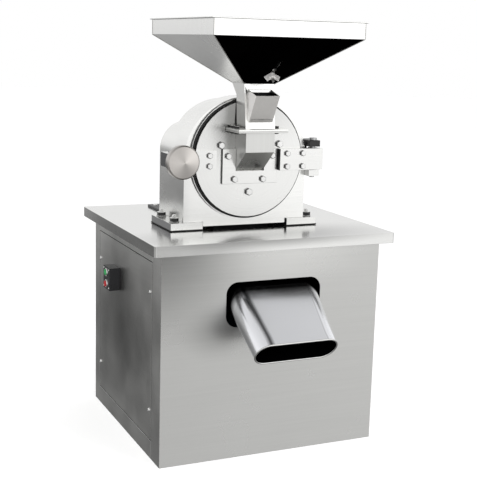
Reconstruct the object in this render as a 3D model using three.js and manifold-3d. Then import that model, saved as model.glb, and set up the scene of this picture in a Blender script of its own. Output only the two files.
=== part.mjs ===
// Hammer mill: a stainless universal grinder standing on its motor cabinet.
// Millimetres, +Z up. The origin is on the floor under the cabinet's centre, and the front faces -Y.
// The mill head's own group has its origin on the rotor's axis, so its y values are shared with the cabinet.
import * as THREE from 'three';
import { mergeVertices } from 'three/addons/utils/BufferGeometryUtils.js';
import Module from 'manifold-3d';

const wasm = await Module();
wasm.setup();

// ---------------------------------------------------------------- driving dimensions

const GAP = 0.3;            // clearance left between neighbouring pieces
const SHEET = 2;            // sheet metal thickness
const WIDE = 48;            // facets round the largest circles
const ROUND = 32;           // facets round middling circles
const SMALL = 20;           // facets round bores, pins and buttons

const CABINET = { w: 600, d: 554, top: 560.7 };
const TABLE = { w: 655, d: 609, z: 564, skirt: 27, sheet: 3, corner: 5 };
const RETURN_Y = -213;      // rear edge of the front panel's folded returns
const SIDE_OPENING = { y0: -213, y1: 234.5, z0: 47, z1: 507 };
const PANEL_GROOVE = 2.5;
const SIDE_BORDER = { front: 15, rear: 12, below: 11, above: 10 };   // folded edges round the side openings
const END_OPENING = { halfW: 262, z0: 40, z1: 520, halfD: 240 };
const FRAME_PLATE = 3;
const FRAME_INSET = 2.3;    // frame plates start this far inside the cabinet's outer faces
const TRAY_T = 3;

const SPOUT = { slope: 35, height: 70, mouthW: 220, panelW: 246, mouthY: -409, mouthZ: 308, wall: 2 };
const SPOUT_HOLE = { halfW: 130, z0: 343, z1: 457, r: 30 };
const DUCT_JOINT_Y = -235;
const DUCT_TOP = { halfW: 78, y0: -110, y1: 14 };
const DUCT_BEND_DEPTH = 16;     // the duct turns forward this far below the table's top
const TABLE_HOLE_MARGIN = 4;

const MILL_X = -21;
const AXIS_Z = 745;
const HOUSING = { halfW: 170, crown: 157, y0: -132, y1: 47, base: -160, chamberR: 137, chamberY1: 33 };
const BARREL = { y0: -62, r: 143, shoulderZ: 10, shoulderR: 74 };   // the lower body behind the front drum
const KEEL = { halfW: 116, base: -172 };                            // the body reaches lower between its feet
const LAND = { r: 156, y: -138.6 };
const OUTLET = { halfW: 72, y0: -108, y1: 12 };
const TABLE_LOCAL = TABLE.z - AXIS_Z;
const FOOT = { inner: 119, outer: 206, y0: -139, y1: 6, bottom: TABLE_LOCAL + GAP };
const BED = { halfW: 128, y0: 50, y1: 262, t: 5.4 };
const BED_TOP = TABLE_LOCAL + GAP + BED.t;
const SCREEN = { r0: 132, r1: 134.5, y0: -130, y1: 30 };

const SHAFT = { r: 15, y0: -103, y1: 206 };
const SHAFT_BORE = SHAFT.r + GAP;
const BEARING = { r: 31, width: 16, y: [62, 124] };
const PEDESTAL = { r: 50, y1: 140, webHalfW: 40, footHalfW: 76, footT: 14 };
const ROTOR = { r: 100, plate: 8, frontY: -88, rearY: -6, hubR: 26 };
const HAMMER_PIN = { orbit: 78, r: 7, headY: -93.5, y0: -88.5, y1: 8, headR: 11 };
const HAMMER = { y0: -74, y1: -12, t: 10, above: 13, below: 43, boreR: 7.4 };
const ROTOR_NUT = { r: 21, y0: -101 };

const PULLEY = { y0: 150, y1: 200, grooveY: [165, 185], grooveTop: 13.6, grooveBottom: 9, grooveDepth: 11 };
const MILL_PULLEY_R = 55;
const MOTOR_PULLEY_R = 72;
const BELT = { w: 8.2, proud: 1, inner: 9.5 };
const BELT_SLOT = { halfW: 74, y0: 152, y1: 198 };
const GUARD = { r: 70, y0: 144, y1: 214, shaftHoleR: 20 };

const MOTOR_Z = 178.6;
const MOTOR = { coreR: 92, finR: 100, fins: 24, y0: -140, y1: 120, shaftR: 14, shaftY1: 205, height: 112 };
const MOTOR_FOOT = { inner: 52, outer: 100, y0: -105, y1: 85, top: -56 };
const TERMINAL_BOX = { halfW: 46, y0: -70, y1: 35, bottom: 96, top: 138 };
const FAN_COVER = { r: 99, y0: -196, inletR: 30 };
const MOTOR_BED = { top: 66.3, plate: 6, channelW: 44, channelY: [-92, 72], halfW: 294.4, plateHalfW: 150 };

const DOOR = { r: 148, y0: -150, y1: -139 };
const DOOR_INLET = { halfW: 33, z0: -22, z1: 58 };
const SEAL = { r0: 139.5, r1: 145.5, depth: 4 };
const STATOR = { r0: 73, r1: 122, t: 8.6, y1: -130 };
const STATOR_TOOTH = { count: 12, orbit: 112, w: 14, d: 10, length: 14 };
const DOOR_FACE = DOOR.y0 - GAP;

const HINGE = { x: 186, y: -142, pinR: 6.5, headR: 10, headT: 6, barrelR: 13, z0: -29, z1: 26 };
const HINGE_STRAP = { x0: 78, x1: 201, y0: -171 };
const HINGE_EAR = { x1: 200, y0: -156, y1: -95, t: 16, gap: 3, webT: 7, webY0: -125 };
const CLAMP_X = -196;
const CLAMP_STRAP = { x0: -219, x1: -95, y0: -162, z0: -25, z1: 24 };
const CLAMP_LUG = { x0: -219, y0: -146, y1: -95, z0: -18, z1: 17, boreR: 8 };
const SCREW = { r: 6, y0: -187.7, y1: -132 };
const COLLAR = { r: 15, y0: -170 };
const KNOB = { r: 42, y0: -206, rimY0: -199, rimY1: -179, hubR: 17 };

const INLET_PLATE = { halfW: 76, z0: -62, z1: 27, t: 6 };
const INLET_BOX = { halfW: 39, y0: -213, z0: -29, frontZ: 23 };
const FLANGE = { halfW: 67, y0: -232, y1: -152, z0: 72.6, t: 4.2 };
const NECK_FLANGE_Z = FLANGE.z0 + FLANGE.t + 0.4;
const NECK = {
  top: { halfW: 41, y0: -197, y1: -124, z: 191.3 },
  throat: { halfW: 40.5, y0: -201, y1: -151, z: 163 },
  bottom: { halfW: 40, y0: -212, y1: -158, z: NECK_FLANGE_Z },
};
const POCKET = { halfW: 32, topZ: 178, lipY: -250, lipZ: 164.5, footY: -212, footZ: 98 };
const POCKET_BACK = { topY: -198, footY: -207, insideTopY: -201.5, insideY: -204, insideFootY: -210.8 };
const POCKET_SLOT = { y0: -216, y1: -200, z0: 104, z1: 132 };
const HOPPER = { y: -160, halfW: 195, halfD: 206, top: 345.3, rim: 40, lip: 6, bottom: NECK.top.z + GAP };
const GATE = { halfW: 35, up: 62, down: 48, t: 2, lift: 2.6, travel: 52 };
const GATE_STUD = { r: 3, x: 14, at: 45, out: 22, slotHalfW: 4, slotEnd: 6 };
const WING_NUT = { r: 8, h: 10, span: 19, seat: 0.5 };
const WING = { t: 3.2, h: 13, tilt: 0.5, overlap: 4, sink: 4.5 };

const SWITCH = { x0: -329.5, y0: 46, y1: 100, z0: 376, z1: 437 };
const BUTTON = { r: 8, travel: 4, y: 73, startZ: 422, stopZ: 391, proud: 5, sink: 5 };
const GLAND = { x: -205, z: 84, r: 12, length: 20, boreR: 4, nutT: 7, domeR: 10, noseR: 7, chamfer: 3.5 };
const VENT = { rows: 7, columns: 2, w: 150, h: 9, pitch: 26, z0: 170, x: 110 };

// ---------------------------------------------------------------- materials

function metal(color, roughness, metalness) {
  return new THREE.MeshStandardMaterial({ color, roughness, metalness });
}

const MATERIALS = {
  brushed: metal(0xb4b5b4, 0.38, 0.9),
  polished: metal(0xdcdddc, 0.18, 0.95),
  steel: metal(0x8d9094, 0.4, 0.85),
  cast: metal(0x6f7376, 0.6, 0.7),
  motorPaint: metal(0x3f5f73, 0.5, 0.2),
  rubber: metal(0x1c1c1c, 0.8, 0),
  blackPlastic: metal(0x1b1c1e, 0.45, 0),
  greenPlastic: metal(0x2f9a55, 0.4, 0),
  redPlastic: metal(0xb3202a, 0.4, 0),
  bearingSteel: metal(0xc4c7ca, 0.25, 0.95),
};

// ---------------------------------------------------------------- solids

// A closed geometry becomes a solid: shared corners are merged and empty triangles dropped.
function toSolid(geometry) {
  const bare = geometry.clone();
  for (const name of Object.keys(bare.attributes)) {
    if (name !== 'position') {
      bare.deleteAttribute(name);
    }
  }
  const merged = mergeVertices(bare, 1e-3);
  const position = merged.getAttribute('position');
  const index = merged.getIndex().array;
  const corner = (i) => new THREE.Vector3().fromBufferAttribute(position, i);
  const triangles = [];
  let volume = 0;
  for (let i = 0; i < index.length; i += 3) {
    const [a, b, c] = [index[i], index[i + 1], index[i + 2]];
    if (a !== b && b !== c && c !== a) {
      triangles.push(a, b, c);
      volume += corner(a).dot(corner(b).cross(corner(c)));
    }
  }
  if (volume < 0) {
    triangles.reverse();
  }
  return new wasm.Manifold(new wasm.Mesh({
    numProp: 3,
    vertProperties: Float32Array.from(position.array),
    triVerts: Uint32Array.from(triangles),
  }));
}

function join(...solids) {
  return solids.reduce((whole, piece) => whole.add(piece));
}

function cut(whole, ...tools) {
  return tools.reduce((rest, tool) => rest.subtract(tool), whole);
}

// A named part of the model, at its place in the group it is added to.
function part(group, name, solid, material, place = [0, 0, 0]) {
  const faces = solid.getMesh();
  const geometry = new THREE.BufferGeometry();
  geometry.setAttribute('position', new THREE.BufferAttribute(faces.vertProperties, 3));
  geometry.setIndex(new THREE.BufferAttribute(faces.triVerts, 1));
  geometry.computeVertexNormals();
  const mesh = new THREE.Mesh(geometry, material);
  mesh.name = name;
  mesh.position.set(...place);
  group.add(mesh);
  return mesh;
}

function box(x0, x1, y0, y1, z0, z1) {
  const geometry = new THREE.BoxGeometry(x1 - x0, y1 - y0, z1 - z0);
  geometry.translate((x0 + x1) / 2, (y0 + y1) / 2, (z0 + z1) / 2);
  return toSolid(geometry);
}

// A cylinder along Y.
function rodY(r, y0, y1, x = 0, z = 0, sides = SMALL) {
  const geometry = new THREE.CylinderGeometry(r, r, y1 - y0, sides);
  geometry.translate(x, (y0 + y1) / 2, z);
  return toSolid(geometry);
}

// A cylinder along Z.
function rodZ(r, z0, z1, x = 0, y = 0, sides = SMALL) {
  const geometry = new THREE.CylinderGeometry(r, r, z1 - z0, sides);
  geometry.rotateX(Math.PI / 2);
  geometry.translate(x, y, (z0 + z1) / 2);
  return toSolid(geometry);
}

// A cylinder along X.
function rodX(r, x0, x1, y = 0, z = 0, sides = SMALL) {
  const geometry = new THREE.CylinderGeometry(r, r, x1 - x0, sides);
  geometry.rotateZ(Math.PI / 2);
  geometry.translate((x0 + x1) / 2, y, z);
  return toSolid(geometry);
}

// A round solid about the Y axis, from a profile of [radius, y] corners.
function turned(profile, sides = ROUND) {
  const points = profile.map(([r, y]) => new THREE.Vector2(r, y));
  return toSolid(new THREE.LatheGeometry(points, sides));
}

// A ring about the Y axis.
function ring(r0, r1, y0, y1, sides = ROUND) {
  return turned([[r0, y0], [r1, y0], [r1, y1], [r0, y1], [r0, y0]], sides);
}

// An outline in X and Z, extruded along Y.
function prismY(shape, y0, y1, curveSegments = 6) {
  const geometry = new THREE.ExtrudeGeometry(shape, { depth: y1 - y0, bevelEnabled: false, curveSegments });
  geometry.rotateX(Math.PI / 2);
  geometry.translate(0, y1, 0);
  return toSolid(geometry);
}

// An outline of [y, z] corners, extruded along X between -halfW and +halfW.
function prismX(corners, halfW) {
  const shape = new THREE.Shape(corners.map(([y, z]) => new THREE.Vector2(y, z)));
  const geometry = new THREE.ExtrudeGeometry(shape, { depth: 2 * halfW, bevelEnabled: false });
  geometry.translate(0, 0, -halfW);
  geometry.rotateX(Math.PI / 2);
  geometry.rotateZ(Math.PI / 2);
  return toSolid(geometry);
}

// Rings of points with one count, joined into a closed solid with flat ends.
function loft(rings) {
  const count = rings[0].length;
  const points = rings.flat();
  const index = [];
  for (let r = 0; r < rings.length - 1; r += 1) {
    for (let i = 0; i < count; i += 1) {
      const a = r * count + i;
      const b = r * count + (i + 1) % count;
      index.push(a, b, b + count, a, b + count, a + count);
    }
  }
  const last = (rings.length - 1) * count;
  for (let i = 1; i < count - 1; i += 1) {
    index.push(0, i + 1, i);
    index.push(last, last + i, last + i + 1);
  }
  const geometry = new THREE.BufferGeometry().setFromPoints(points);
  geometry.setIndex(index);
  return toSolid(geometry);
}

// A rounded rectangle in X and Z.
function roundedRect(x0, x1, z0, z1, r) {
  const shape = new THREE.Shape();
  shape.absarc(x1 - r, z1 - r, r, 0, Math.PI / 2, false);
  shape.absarc(x0 + r, z1 - r, r, Math.PI / 2, Math.PI, false);
  shape.absarc(x0 + r, z0 + r, r, Math.PI, 1.5 * Math.PI, false);
  shape.absarc(x1 - r, z0 + r, r, 1.5 * Math.PI, 2 * Math.PI, false);
  return shape;
}

// A plate or bar outline with a round top of radius r about the origin and straight sides down to z.
function archShape(r, z) {
  const shape = new THREE.Shape();
  shape.moveTo(-r, z);
  shape.lineTo(r, z);
  shape.absarc(0, 0, r, 0, Math.PI, false);
  return shape;
}

// ---------------------------------------------------------------- cabinet

const model = new THREE.Group();
const cabinet = new THREE.Group();
model.add(cabinet);

const HALF_W = CABINET.w / 2;
const HALF_D = CABINET.d / 2;
const FRAME_X = HALF_W - FRAME_INSET;
const FRAME_Y = HALF_D - FRAME_INSET;
const FRAME_Z0 = TRAY_T + GAP;

// Four corner posts and their rails, folded from plate, with the bare borders around each side panel.
function cabinetFrame() {
  const shell = box(-FRAME_X, FRAME_X, -FRAME_Y, FRAME_Y, FRAME_Z0, CABINET.top);
  const t = FRAME_PLATE;
  const hollow = box(-FRAME_X + t, FRAME_X - t, -FRAME_Y + t, FRAME_Y - t, FRAME_Z0 + t, CABINET.top - t);
  const { y0, y1, z0, z1 } = SIDE_OPENING;
  const { front, rear, below, above } = SIDE_BORDER;
  const end = END_OPENING;
  const alongX = box(-HALF_W, HALF_W, y0 + front, y1 - rear, z0 + below, z1 - above);
  const alongY = box(-end.halfW, end.halfW, -HALF_D, HALF_D, end.z0, end.z1);
  const alongZ = box(-end.halfW, end.halfW, -end.halfD, end.halfD, 0, CABINET.top + 1);
  let frame = cut(shell, hollow, alongX, alongY, alongZ);
  const opening = box(-HALF_W - 1, HALF_W + 1, y0 - 5, y1, z0, z1);
  for (const side of [-1, 1]) {
    const [x0, x1] = side < 0 ? [-HALF_W, -FRAME_X + 0.01] : [FRAME_X - 0.01, HALF_W];
    const border = box(x0, x1, RETURN_Y + GAP, HALF_D, 0, CABINET.top);
    frame = join(frame, cut(border, opening));
  }
  return frame;
}

// The front sheet is folded back round both front corners.
function frontPanel() {
  const sheet = box(-HALF_W, HALF_W, -HALF_D, RETURN_Y, 0, CABINET.top);
  const inside = box(-HALF_W + SHEET, HALF_W - SHEET, -HALF_D + SHEET, RETURN_Y + 1, -1, CABINET.top + 1);
  const { halfW, z0, z1, r } = SPOUT_HOLE;
  const hole = prismY(roundedRect(-halfW, halfW, z0, z1, r), -HALF_D - 1, -HALF_D + SHEET + 1);
  return cut(sheet, inside, hole);
}

function sidePanel(side) {
  const [x0, x1] = side < 0 ? [-HALF_W, -HALF_W + SHEET] : [HALF_W - SHEET, HALF_W];
  const g = PANEL_GROOVE;
  return box(x0, x1, SIDE_OPENING.y0 + g, SIDE_OPENING.y1 - g, SIDE_OPENING.z0 + g, SIDE_OPENING.z1 - g);
}

function rearPanel() {
  const inset = FRAME_INSET + GAP;
  let panel = box(-HALF_W + inset, HALF_W - inset, HALF_D - SHEET, HALF_D, 2, CABINET.top);
  for (let column = 0; column < VENT.columns; column += 1) {
    for (let row = 0; row < VENT.rows; row += 1) {
      const x = VENT.x * (2 * column - 1);
      const z = VENT.z0 + row * VENT.pitch;
      panel = cut(panel, box(x - VENT.w / 2, x + VENT.w / 2, HALF_D - 9, HALF_D + 9, z, z + VENT.h));
    }
  }
  return panel;
}

function tableTop() {
  const { w, d, z, skirt, sheet, corner } = TABLE;
  const outline = roundedRect(-w / 2, w / 2, -d / 2, d / 2, corner);
  const block = new THREE.ExtrudeGeometry(outline, { depth: skirt, bevelEnabled: false, curveSegments: 3 });
  block.translate(0, 0, z - skirt);
  const underside = box(
    -w / 2 + SHEET, w / 2 - SHEET, -d / 2 + SHEET, d / 2 - SHEET, z - skirt - 1, z - sheet);
  const m = TABLE_HOLE_MARGIN;
  const outlet = box(
    MILL_X - DUCT_TOP.halfW - m, MILL_X + DUCT_TOP.halfW + m, DUCT_TOP.y0 - m, DUCT_TOP.y1 + m, z - 9, z + 9);
  const beltSlot = box(
    MILL_X - BELT_SLOT.halfW, MILL_X + BELT_SLOT.halfW, BELT_SLOT.y0, BELT_SLOT.y1, z - 9, z + 9);
  return cut(toSolid(block), underside, outlet, beltSlot);
}

const baseTray = box(-FRAME_X + GAP, FRAME_X - GAP, -FRAME_Y, FRAME_Y, 0, TRAY_T);

part(cabinet, 'base_tray', baseTray, MATERIALS.brushed);
part(cabinet, 'cabinet_frame', cabinetFrame(), MATERIALS.brushed);
part(cabinet, 'front_panel', frontPanel(), MATERIALS.brushed);
part(cabinet, 'left_side_panel', sidePanel(-1), MATERIALS.brushed);
part(cabinet, 'right_side_panel', sidePanel(1), MATERIALS.brushed);
part(cabinet, 'rear_panel', rearPanel(), MATERIALS.brushed);
part(cabinet, 'table_top', tableTop(), MATERIALS.polished);

// ---------------------------------------------------------------- discharge chute

// A flat oval in the plane square to the chute's slope, centred at (x, y, z).
function ovalRing(x, y, z, w, h) {
  const slope = THREE.MathUtils.degToRad(SPOUT.slope);
  const up = new THREE.Vector3(0, -Math.sin(slope), Math.cos(slope));
  const r = h / 2;
  const points = [];
  const steps = 7;
  for (const side of [1, -1]) {
    for (let i = 0; i <= steps; i += 1) {
      const angle = (Math.PI * i) / steps - Math.PI / 2;
      const across = side * (w / 2 - r + r * Math.cos(angle));
      points.push(new THREE.Vector3(x + across, y, z).addScaledVector(up, side * r * Math.sin(angle)));
    }
  }
  return points;
}

function chuteCentreZ(y) {
  return SPOUT.mouthZ + (y - SPOUT.mouthY) * Math.tan(THREE.MathUtils.degToRad(SPOUT.slope));
}

function chuteWidth(y) {
  const t = (y - SPOUT.mouthY) / (-HALF_D - SPOUT.mouthY);
  return SPOUT.mouthW + Math.min(t, 1) * (SPOUT.panelW - SPOUT.mouthW);
}

function chuteRing(y, inset) {
  return ovalRing(0, y, chuteCentreZ(y), chuteWidth(y) - 2 * inset, SPOUT.height - 2 * inset);
}

function dischargeSpout() {
  const outer = loft([SPOUT.mouthY, -HALF_D, DUCT_JOINT_Y].map((y) => chuteRing(y, 0)));
  const inner = loft([SPOUT.mouthY - 1, -HALF_D, DUCT_JOINT_Y + 1].map((y) => chuteRing(y, SPOUT.wall)));
  return cut(outer, inner);
}

// Four corners of the duct, drawn in by inset: low and high are the [y, z] ends of its section.
function ductRing(x0, x1, low, high, inset) {
  const [far, near] = [low, high].map(([y, z]) => new THREE.Vector2(y, z));
  const step = near.clone().sub(far).setLength(inset);
  far.add(step);
  near.sub(step);
  return [[x0 + inset, far], [x1 - inset, far], [x1 - inset, near], [x0 + inset, near]].map(
    ([x, end]) => new THREE.Vector3(x, end.x, end.y));
}

// The chute's section at y, as the [y, z] ends of a line square to its slope.
function chuteSection(y, z, height) {
  const slope = THREE.MathUtils.degToRad(SPOUT.slope);
  const [dy, dz] = [-Math.sin(slope) * height / 2, Math.cos(slope) * height / 2];
  return [[y - dy, z - dz], [y + dy, z + dz]];
}

// Flat walls from the housing's outlet down through the table, then forward to the spout.
function ductSkin(inset, past) {
  const { halfW, y0, y1 } = DUCT_TOP;
  const [x0, x1] = [MILL_X - halfW, MILL_X + halfW];
  const bend = TABLE.z - DUCT_BEND_DEPTH;
  const top = AXIS_Z + KEEL.base - GAP + past;
  const start = DUCT_JOINT_Y + 1 - past;
  const wide = SPOUT.panelW / 2;
  const slope = THREE.MathUtils.degToRad(SPOUT.slope);
  const elbowY = y0 + Math.sin(slope) * SPOUT.height / 2;
  const elbowZ = bend - Math.cos(slope) * SPOUT.height / 2;
  return loft([
    ductRing(-wide, wide, ...chuteSection(start, chuteCentreZ(start), SPOUT.height), inset),
    ductRing(x0, x1, ...chuteSection(elbowY, elbowZ, SPOUT.height), inset),
    ductRing(x0, x1, [y1, bend], [y0, bend], inset),
    ductRing(x0, x1, [y1, top], [y0, top], inset),
  ]);
}

// The duct, with an end plate whose flat oval hole lines up with the spout.
function dischargeDuct() {
  const start = DUCT_JOINT_Y + 1;
  const end = start + SPOUT.wall;
  const wide = SPOUT.panelW / 2;
  const plate = loft([start, end].map(
    (y) => ductRing(-wide, wide, ...chuteSection(y, chuteCentreZ(y), SPOUT.height), 0)));
  const hole = loft([start - 1, end + 1].map((y) => chuteRing(y, SPOUT.wall)));
  return join(cut(ductSkin(0, 0), ductSkin(SPOUT.wall, 1)), cut(plate, hole));
}

part(cabinet, 'discharge_spout', dischargeSpout(), MATERIALS.polished);
part(cabinet, 'discharge_duct', dischargeDuct(), MATERIALS.brushed);

// ---------------------------------------------------------------- switch box and cable gland

const buttonX = SWITCH.x0 - BUTTON.proud;

function switchBox() {
  const body = box(SWITCH.x0, -HALF_W - GAP, SWITCH.y0, SWITCH.y1, SWITCH.z0, SWITCH.z1);
  const depth = BUTTON.sink + BUTTON.travel + 1;
  const wells = [BUTTON.startZ, BUTTON.stopZ].map(
    (z) => rodX(BUTTON.r + GAP, SWITCH.x0 - 1, SWITCH.x0 + depth, BUTTON.y, z));
  return cut(body, ...wells);
}

function pushButton() {
  return rodX(BUTTON.r, 0, BUTTON.proud + BUTTON.sink);
}

function cableGland() {
  const { r, length, boreR, nutT, domeR, noseR, chamfer } = GLAND;
  const hex = toSolid(new THREE.CylinderGeometry(r, r, nutT, 6));
  const end = length - nutT / 2;
  const dome = turned([[0, 3], [domeR, 3], [domeR, end - chamfer], [noseR, end], [0, end]], SMALL);
  return cut(join(hex, dome), rodY(boreR, -nutT, length));
}

part(cabinet, 'switch_box', switchBox(), MATERIALS.blackPlastic);
part(cabinet, 'start_button', pushButton(), MATERIALS.greenPlastic, [buttonX, BUTTON.y, BUTTON.startZ]);
part(cabinet, 'stop_button', pushButton(), MATERIALS.redPlastic, [buttonX, BUTTON.y, BUTTON.stopZ]);
const glandY = HALF_D + GLAND.nutT / 2 + GAP;
part(cabinet, 'cable_gland', cableGland(), MATERIALS.blackPlastic, [GLAND.x, glandY, GLAND.z]);

// ---------------------------------------------------------------- motor

const motor = new THREE.Group();
motor.position.set(MILL_X, 0, MOTOR_Z);
model.add(motor);

function motorBed() {
  const { top, plate, channelW, channelY, halfW, plateHalfW } = MOTOR_BED;
  const bottom = FRAME_Z0 + FRAME_PLATE + GAP;
  const deck = top - plate;
  const y0 = channelY[0] - channelW / 2;
  const y1 = channelY[1] + channelW / 2;
  let bed = box(MILL_X - plateHalfW, MILL_X + plateHalfW, y0, y1, deck, top);
  for (const y of channelY) {
    const channel = box(-halfW, halfW, y - channelW / 2, y + channelW / 2, bottom, deck);
    const hollow = box(
      -halfW - 1, halfW + 1, y - channelW / 2 + FRAME_PLATE, y + channelW / 2 - FRAME_PLATE,
      bottom - 1, deck - FRAME_PLATE);
    bed = join(bed, cut(channel, hollow));
  }
  return bed;
}

// A ribbed barrel standing on two feet, with a socket for its shaft.
function motorBody() {
  const { coreR, finR, fins, y0, y1, height } = MOTOR;
  const shape = new THREE.Shape();
  const pitch = (2 * Math.PI) / fins;
  for (let i = 0; i < fins; i += 1) {
    for (const [r, turn] of [[coreR, 0.1], [coreR, 0.6], [finR, 0.65], [finR, 0.95]]) {
      const angle = (i + turn) * pitch;
      const [x, z] = [r * Math.cos(angle), r * Math.sin(angle)];
      if (i === 0 && turn === 0.1) {
        shape.moveTo(x, z);
      } else {
        shape.lineTo(x, z);
      }
    }
  }
  let body = prismY(shape, y0, y1);
  const foot = MOTOR_FOOT;
  for (const [x0, x1] of [[-foot.outer, -foot.inner], [foot.inner, foot.outer]]) {
    body = join(body, box(x0, x1, foot.y0, foot.y1, -height, foot.top));
  }
  return cut(body, rodY(MOTOR.shaftR + GAP, y1 - 22, y1 + 1));
}

function fanCover() {
  const { r, y0, inletR } = FAN_COVER;
  const y1 = MOTOR.y0 - GAP;
  return turned([
    [inletR, y0], [r - 8, y0], [r, y0 + 8], [r, y1], [r - SHEET, y1], [r - SHEET, y0 + 9],
    [r - 9, y0 + SHEET], [inletR, y0 + SHEET], [inletR, y0],
  ]);
}

// The box for the motor's wires, seated on the ribs.
function terminalBox() {
  const { halfW, y0, y1, bottom, top } = TERMINAL_BOX;
  return cut(box(-halfW, halfW, y0, y1, bottom, top), rodY(MOTOR.finR + GAP, y0 - 1, y1 + 1, 0, 0, WIDE));
}

// A pulley with two V grooves.
function vPulley(r, boreR) {
  const { y0, y1, grooveY, grooveTop, grooveBottom, grooveDepth } = PULLEY;
  const profile = [[boreR, y0], [r, y0]];
  for (const y of grooveY) {
    profile.push([r, y - grooveTop / 2]);
    profile.push([r - grooveDepth, y - grooveBottom / 2]);
    profile.push([r - grooveDepth, y + grooveBottom / 2]);
    profile.push([r, y + grooveTop / 2]);
  }
  profile.push([r, y1], [boreR, y1], [boreR, y0]);
  return turned(profile, 24);
}

part(cabinet, 'motor_bed', motorBed(), MATERIALS.steel);
part(motor, 'motor_body', motorBody(), MATERIALS.motorPaint);
part(motor, 'motor_fan_cover', fanCover(), MATERIALS.motorPaint);
part(motor, 'motor_terminal_box', terminalBox(), MATERIALS.motorPaint);
part(motor, 'motor_shaft', rodY(MOTOR.shaftR, MOTOR.y1 - 20, MOTOR.shaftY1), MATERIALS.steel);
part(motor, 'motor_pulley', vPulley(MOTOR_PULLEY_R, MOTOR.shaftR + GAP), MATERIALS.cast);

// ---------------------------------------------------------------- mill head

const mill = new THREE.Group();
mill.position.set(MILL_X, 0, AXIS_Z);
model.add(mill);

// The front drum's outline: straight walls under a slightly flattened arch.
function drumShape() {
  const { halfW, crown, base } = HOUSING;
  const shape = new THREE.Shape();
  shape.moveTo(-halfW, base);
  shape.lineTo(halfW, base);
  shape.absellipse(0, 0, halfW, crown, 0, Math.PI, false, 0);
  return shape;
}

// The barrel's outline: walls as wide as the drum's, with rounded shoulders below a round back.
function barrelShoulders() {
  const { shoulderZ, shoulderR } = BARREL;
  const { halfW, base } = HOUSING;
  const shape = new THREE.Shape();
  shape.moveTo(-halfW, base);
  shape.lineTo(halfW, base);
  shape.absarc(halfW - shoulderR, shoulderZ, shoulderR, 0, Math.PI / 2, false);
  shape.absarc(shoulderR - halfW, shoulderZ, shoulderR, Math.PI / 2, Math.PI, false);
  return shape;
}

function millHousing() {
  const { y0, y1, base, chamberR, chamberY1 } = HOUSING;
  const drum = prismY(drumShape(), y0, BARREL.y0, WIDE / 2);
  const shoulders = prismY(barrelShoulders(), BARREL.y0 - 1, y1, SMALL / 2);
  const back = rodY(BARREL.r, BARREL.y0 - 1, y1, 0, 0, WIDE);
  const keel = box(-KEEL.halfW, KEEL.halfW, y0, y1, KEEL.base, base + 1);
  const land = rodY(LAND.r, LAND.y, y0 + 1, 0, 0, WIDE);
  const chamber = rodY(chamberR, LAND.y - 1, chamberY1, 0, 0, WIDE);
  const outlet = box(-OUTLET.halfW, OUTLET.halfW, OUTLET.y0, OUTLET.y1, KEEL.base - 1, -100);
  const shaftHole = rodY(SHAFT.r + 5, chamberY1 - 1, y1 + 1);
  return cut(join(drum, shoulders, back, keel, land), chamber, outlet, shaftHole);
}

function bearingPedestal() {
  const { r, y1, webHalfW, footHalfW, footT } = PEDESTAL;
  const y0 = HOUSING.y1 + GAP;
  const foot = BED_TOP + GAP;
  const barrel = rodY(r, y0, y1, 0, 0, ROUND);
  const web = box(-webHalfW, webHalfW, y0 + 14, y1 - 14, foot, 0);
  const sole = box(-footHalfW, footHalfW, y0 + 6, y1 - 6, foot, foot + footT);
  return cut(join(barrel, web, sole), rodY(BEARING.r + GAP, y0 - 1, y1 + 1, 0, 0, ROUND));
}

function bedPlate() {
  const slot = box(
    -BELT_SLOT.halfW, BELT_SLOT.halfW, BELT_SLOT.y0, BELT_SLOT.y1, TABLE_LOCAL - 1, BED_TOP + 1);
  return cut(box(-BED.halfW, BED.halfW, BED.y0, BED.y1, TABLE_LOCAL + GAP, BED_TOP), slot);
}

function beltGuard() {
  const { r, y0, y1, shaftHoleR } = GUARD;
  const foot = BED_TOP + GAP;
  const cover = prismY(archShape(r, foot), y0, y1, ROUND / 2);
  const inside = prismY(archShape(r - SHEET, foot - 1), y0 + SHEET, y1 - SHEET, ROUND / 2);
  return cut(cover, inside, rodY(shaftHoleR, y0 - 1, y0 + SHEET + 1));
}

// One belt: the band between two outlines that wrap both pulleys.
function driveBelt(y) {
  const span = AXIS_Z - MOTOR_Z;
  const lean = Math.asin((MOTOR_PULLEY_R - MILL_PULLEY_R) / span);
  const wrap = (path, offset) => {
    path.absarc(0, 0, MILL_PULLEY_R + offset, lean, Math.PI - lean, false);
    path.absarc(0, -span, MOTOR_PULLEY_R + offset, Math.PI - lean, 2 * Math.PI + lean, false);
    return path;
  };
  const band = wrap(new THREE.Shape(), BELT.proud);
  band.holes.push(wrap(new THREE.Path(), -BELT.inner));
  return prismY(band, y - BELT.w / 2, y + BELT.w / 2, 10);
}

part(mill, 'mill_housing', millHousing(), MATERIALS.polished);
for (const [name, x0, x1] of [
  ['left_foot_bar', -FOOT.outer, -FOOT.inner],
  ['right_foot_bar', FOOT.inner, FOOT.outer],
]) {
  const bar = box(x0, x1, FOOT.y0, FOOT.y1, FOOT.bottom, HOUSING.base - GAP);
  part(mill, name, bar, MATERIALS.polished);
}
part(mill, 'mill_bed_plate', bedPlate(), MATERIALS.brushed);
part(mill, 'screen_ring', ring(SCREEN.r0, SCREEN.r1, SCREEN.y0, SCREEN.y1, WIDE), MATERIALS.brushed);
part(mill, 'bearing_pedestal', bearingPedestal(), MATERIALS.cast);
for (const [i, name] of ['front_bearing', 'rear_bearing'].entries()) {
  const bearing = ring(SHAFT_BORE, BEARING.r, -BEARING.width / 2, BEARING.width / 2);
  part(mill, name, bearing, MATERIALS.bearingSteel, [0, BEARING.y[i], 0]);
}
part(mill, 'belt_guard', beltGuard(), MATERIALS.brushed);
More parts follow.
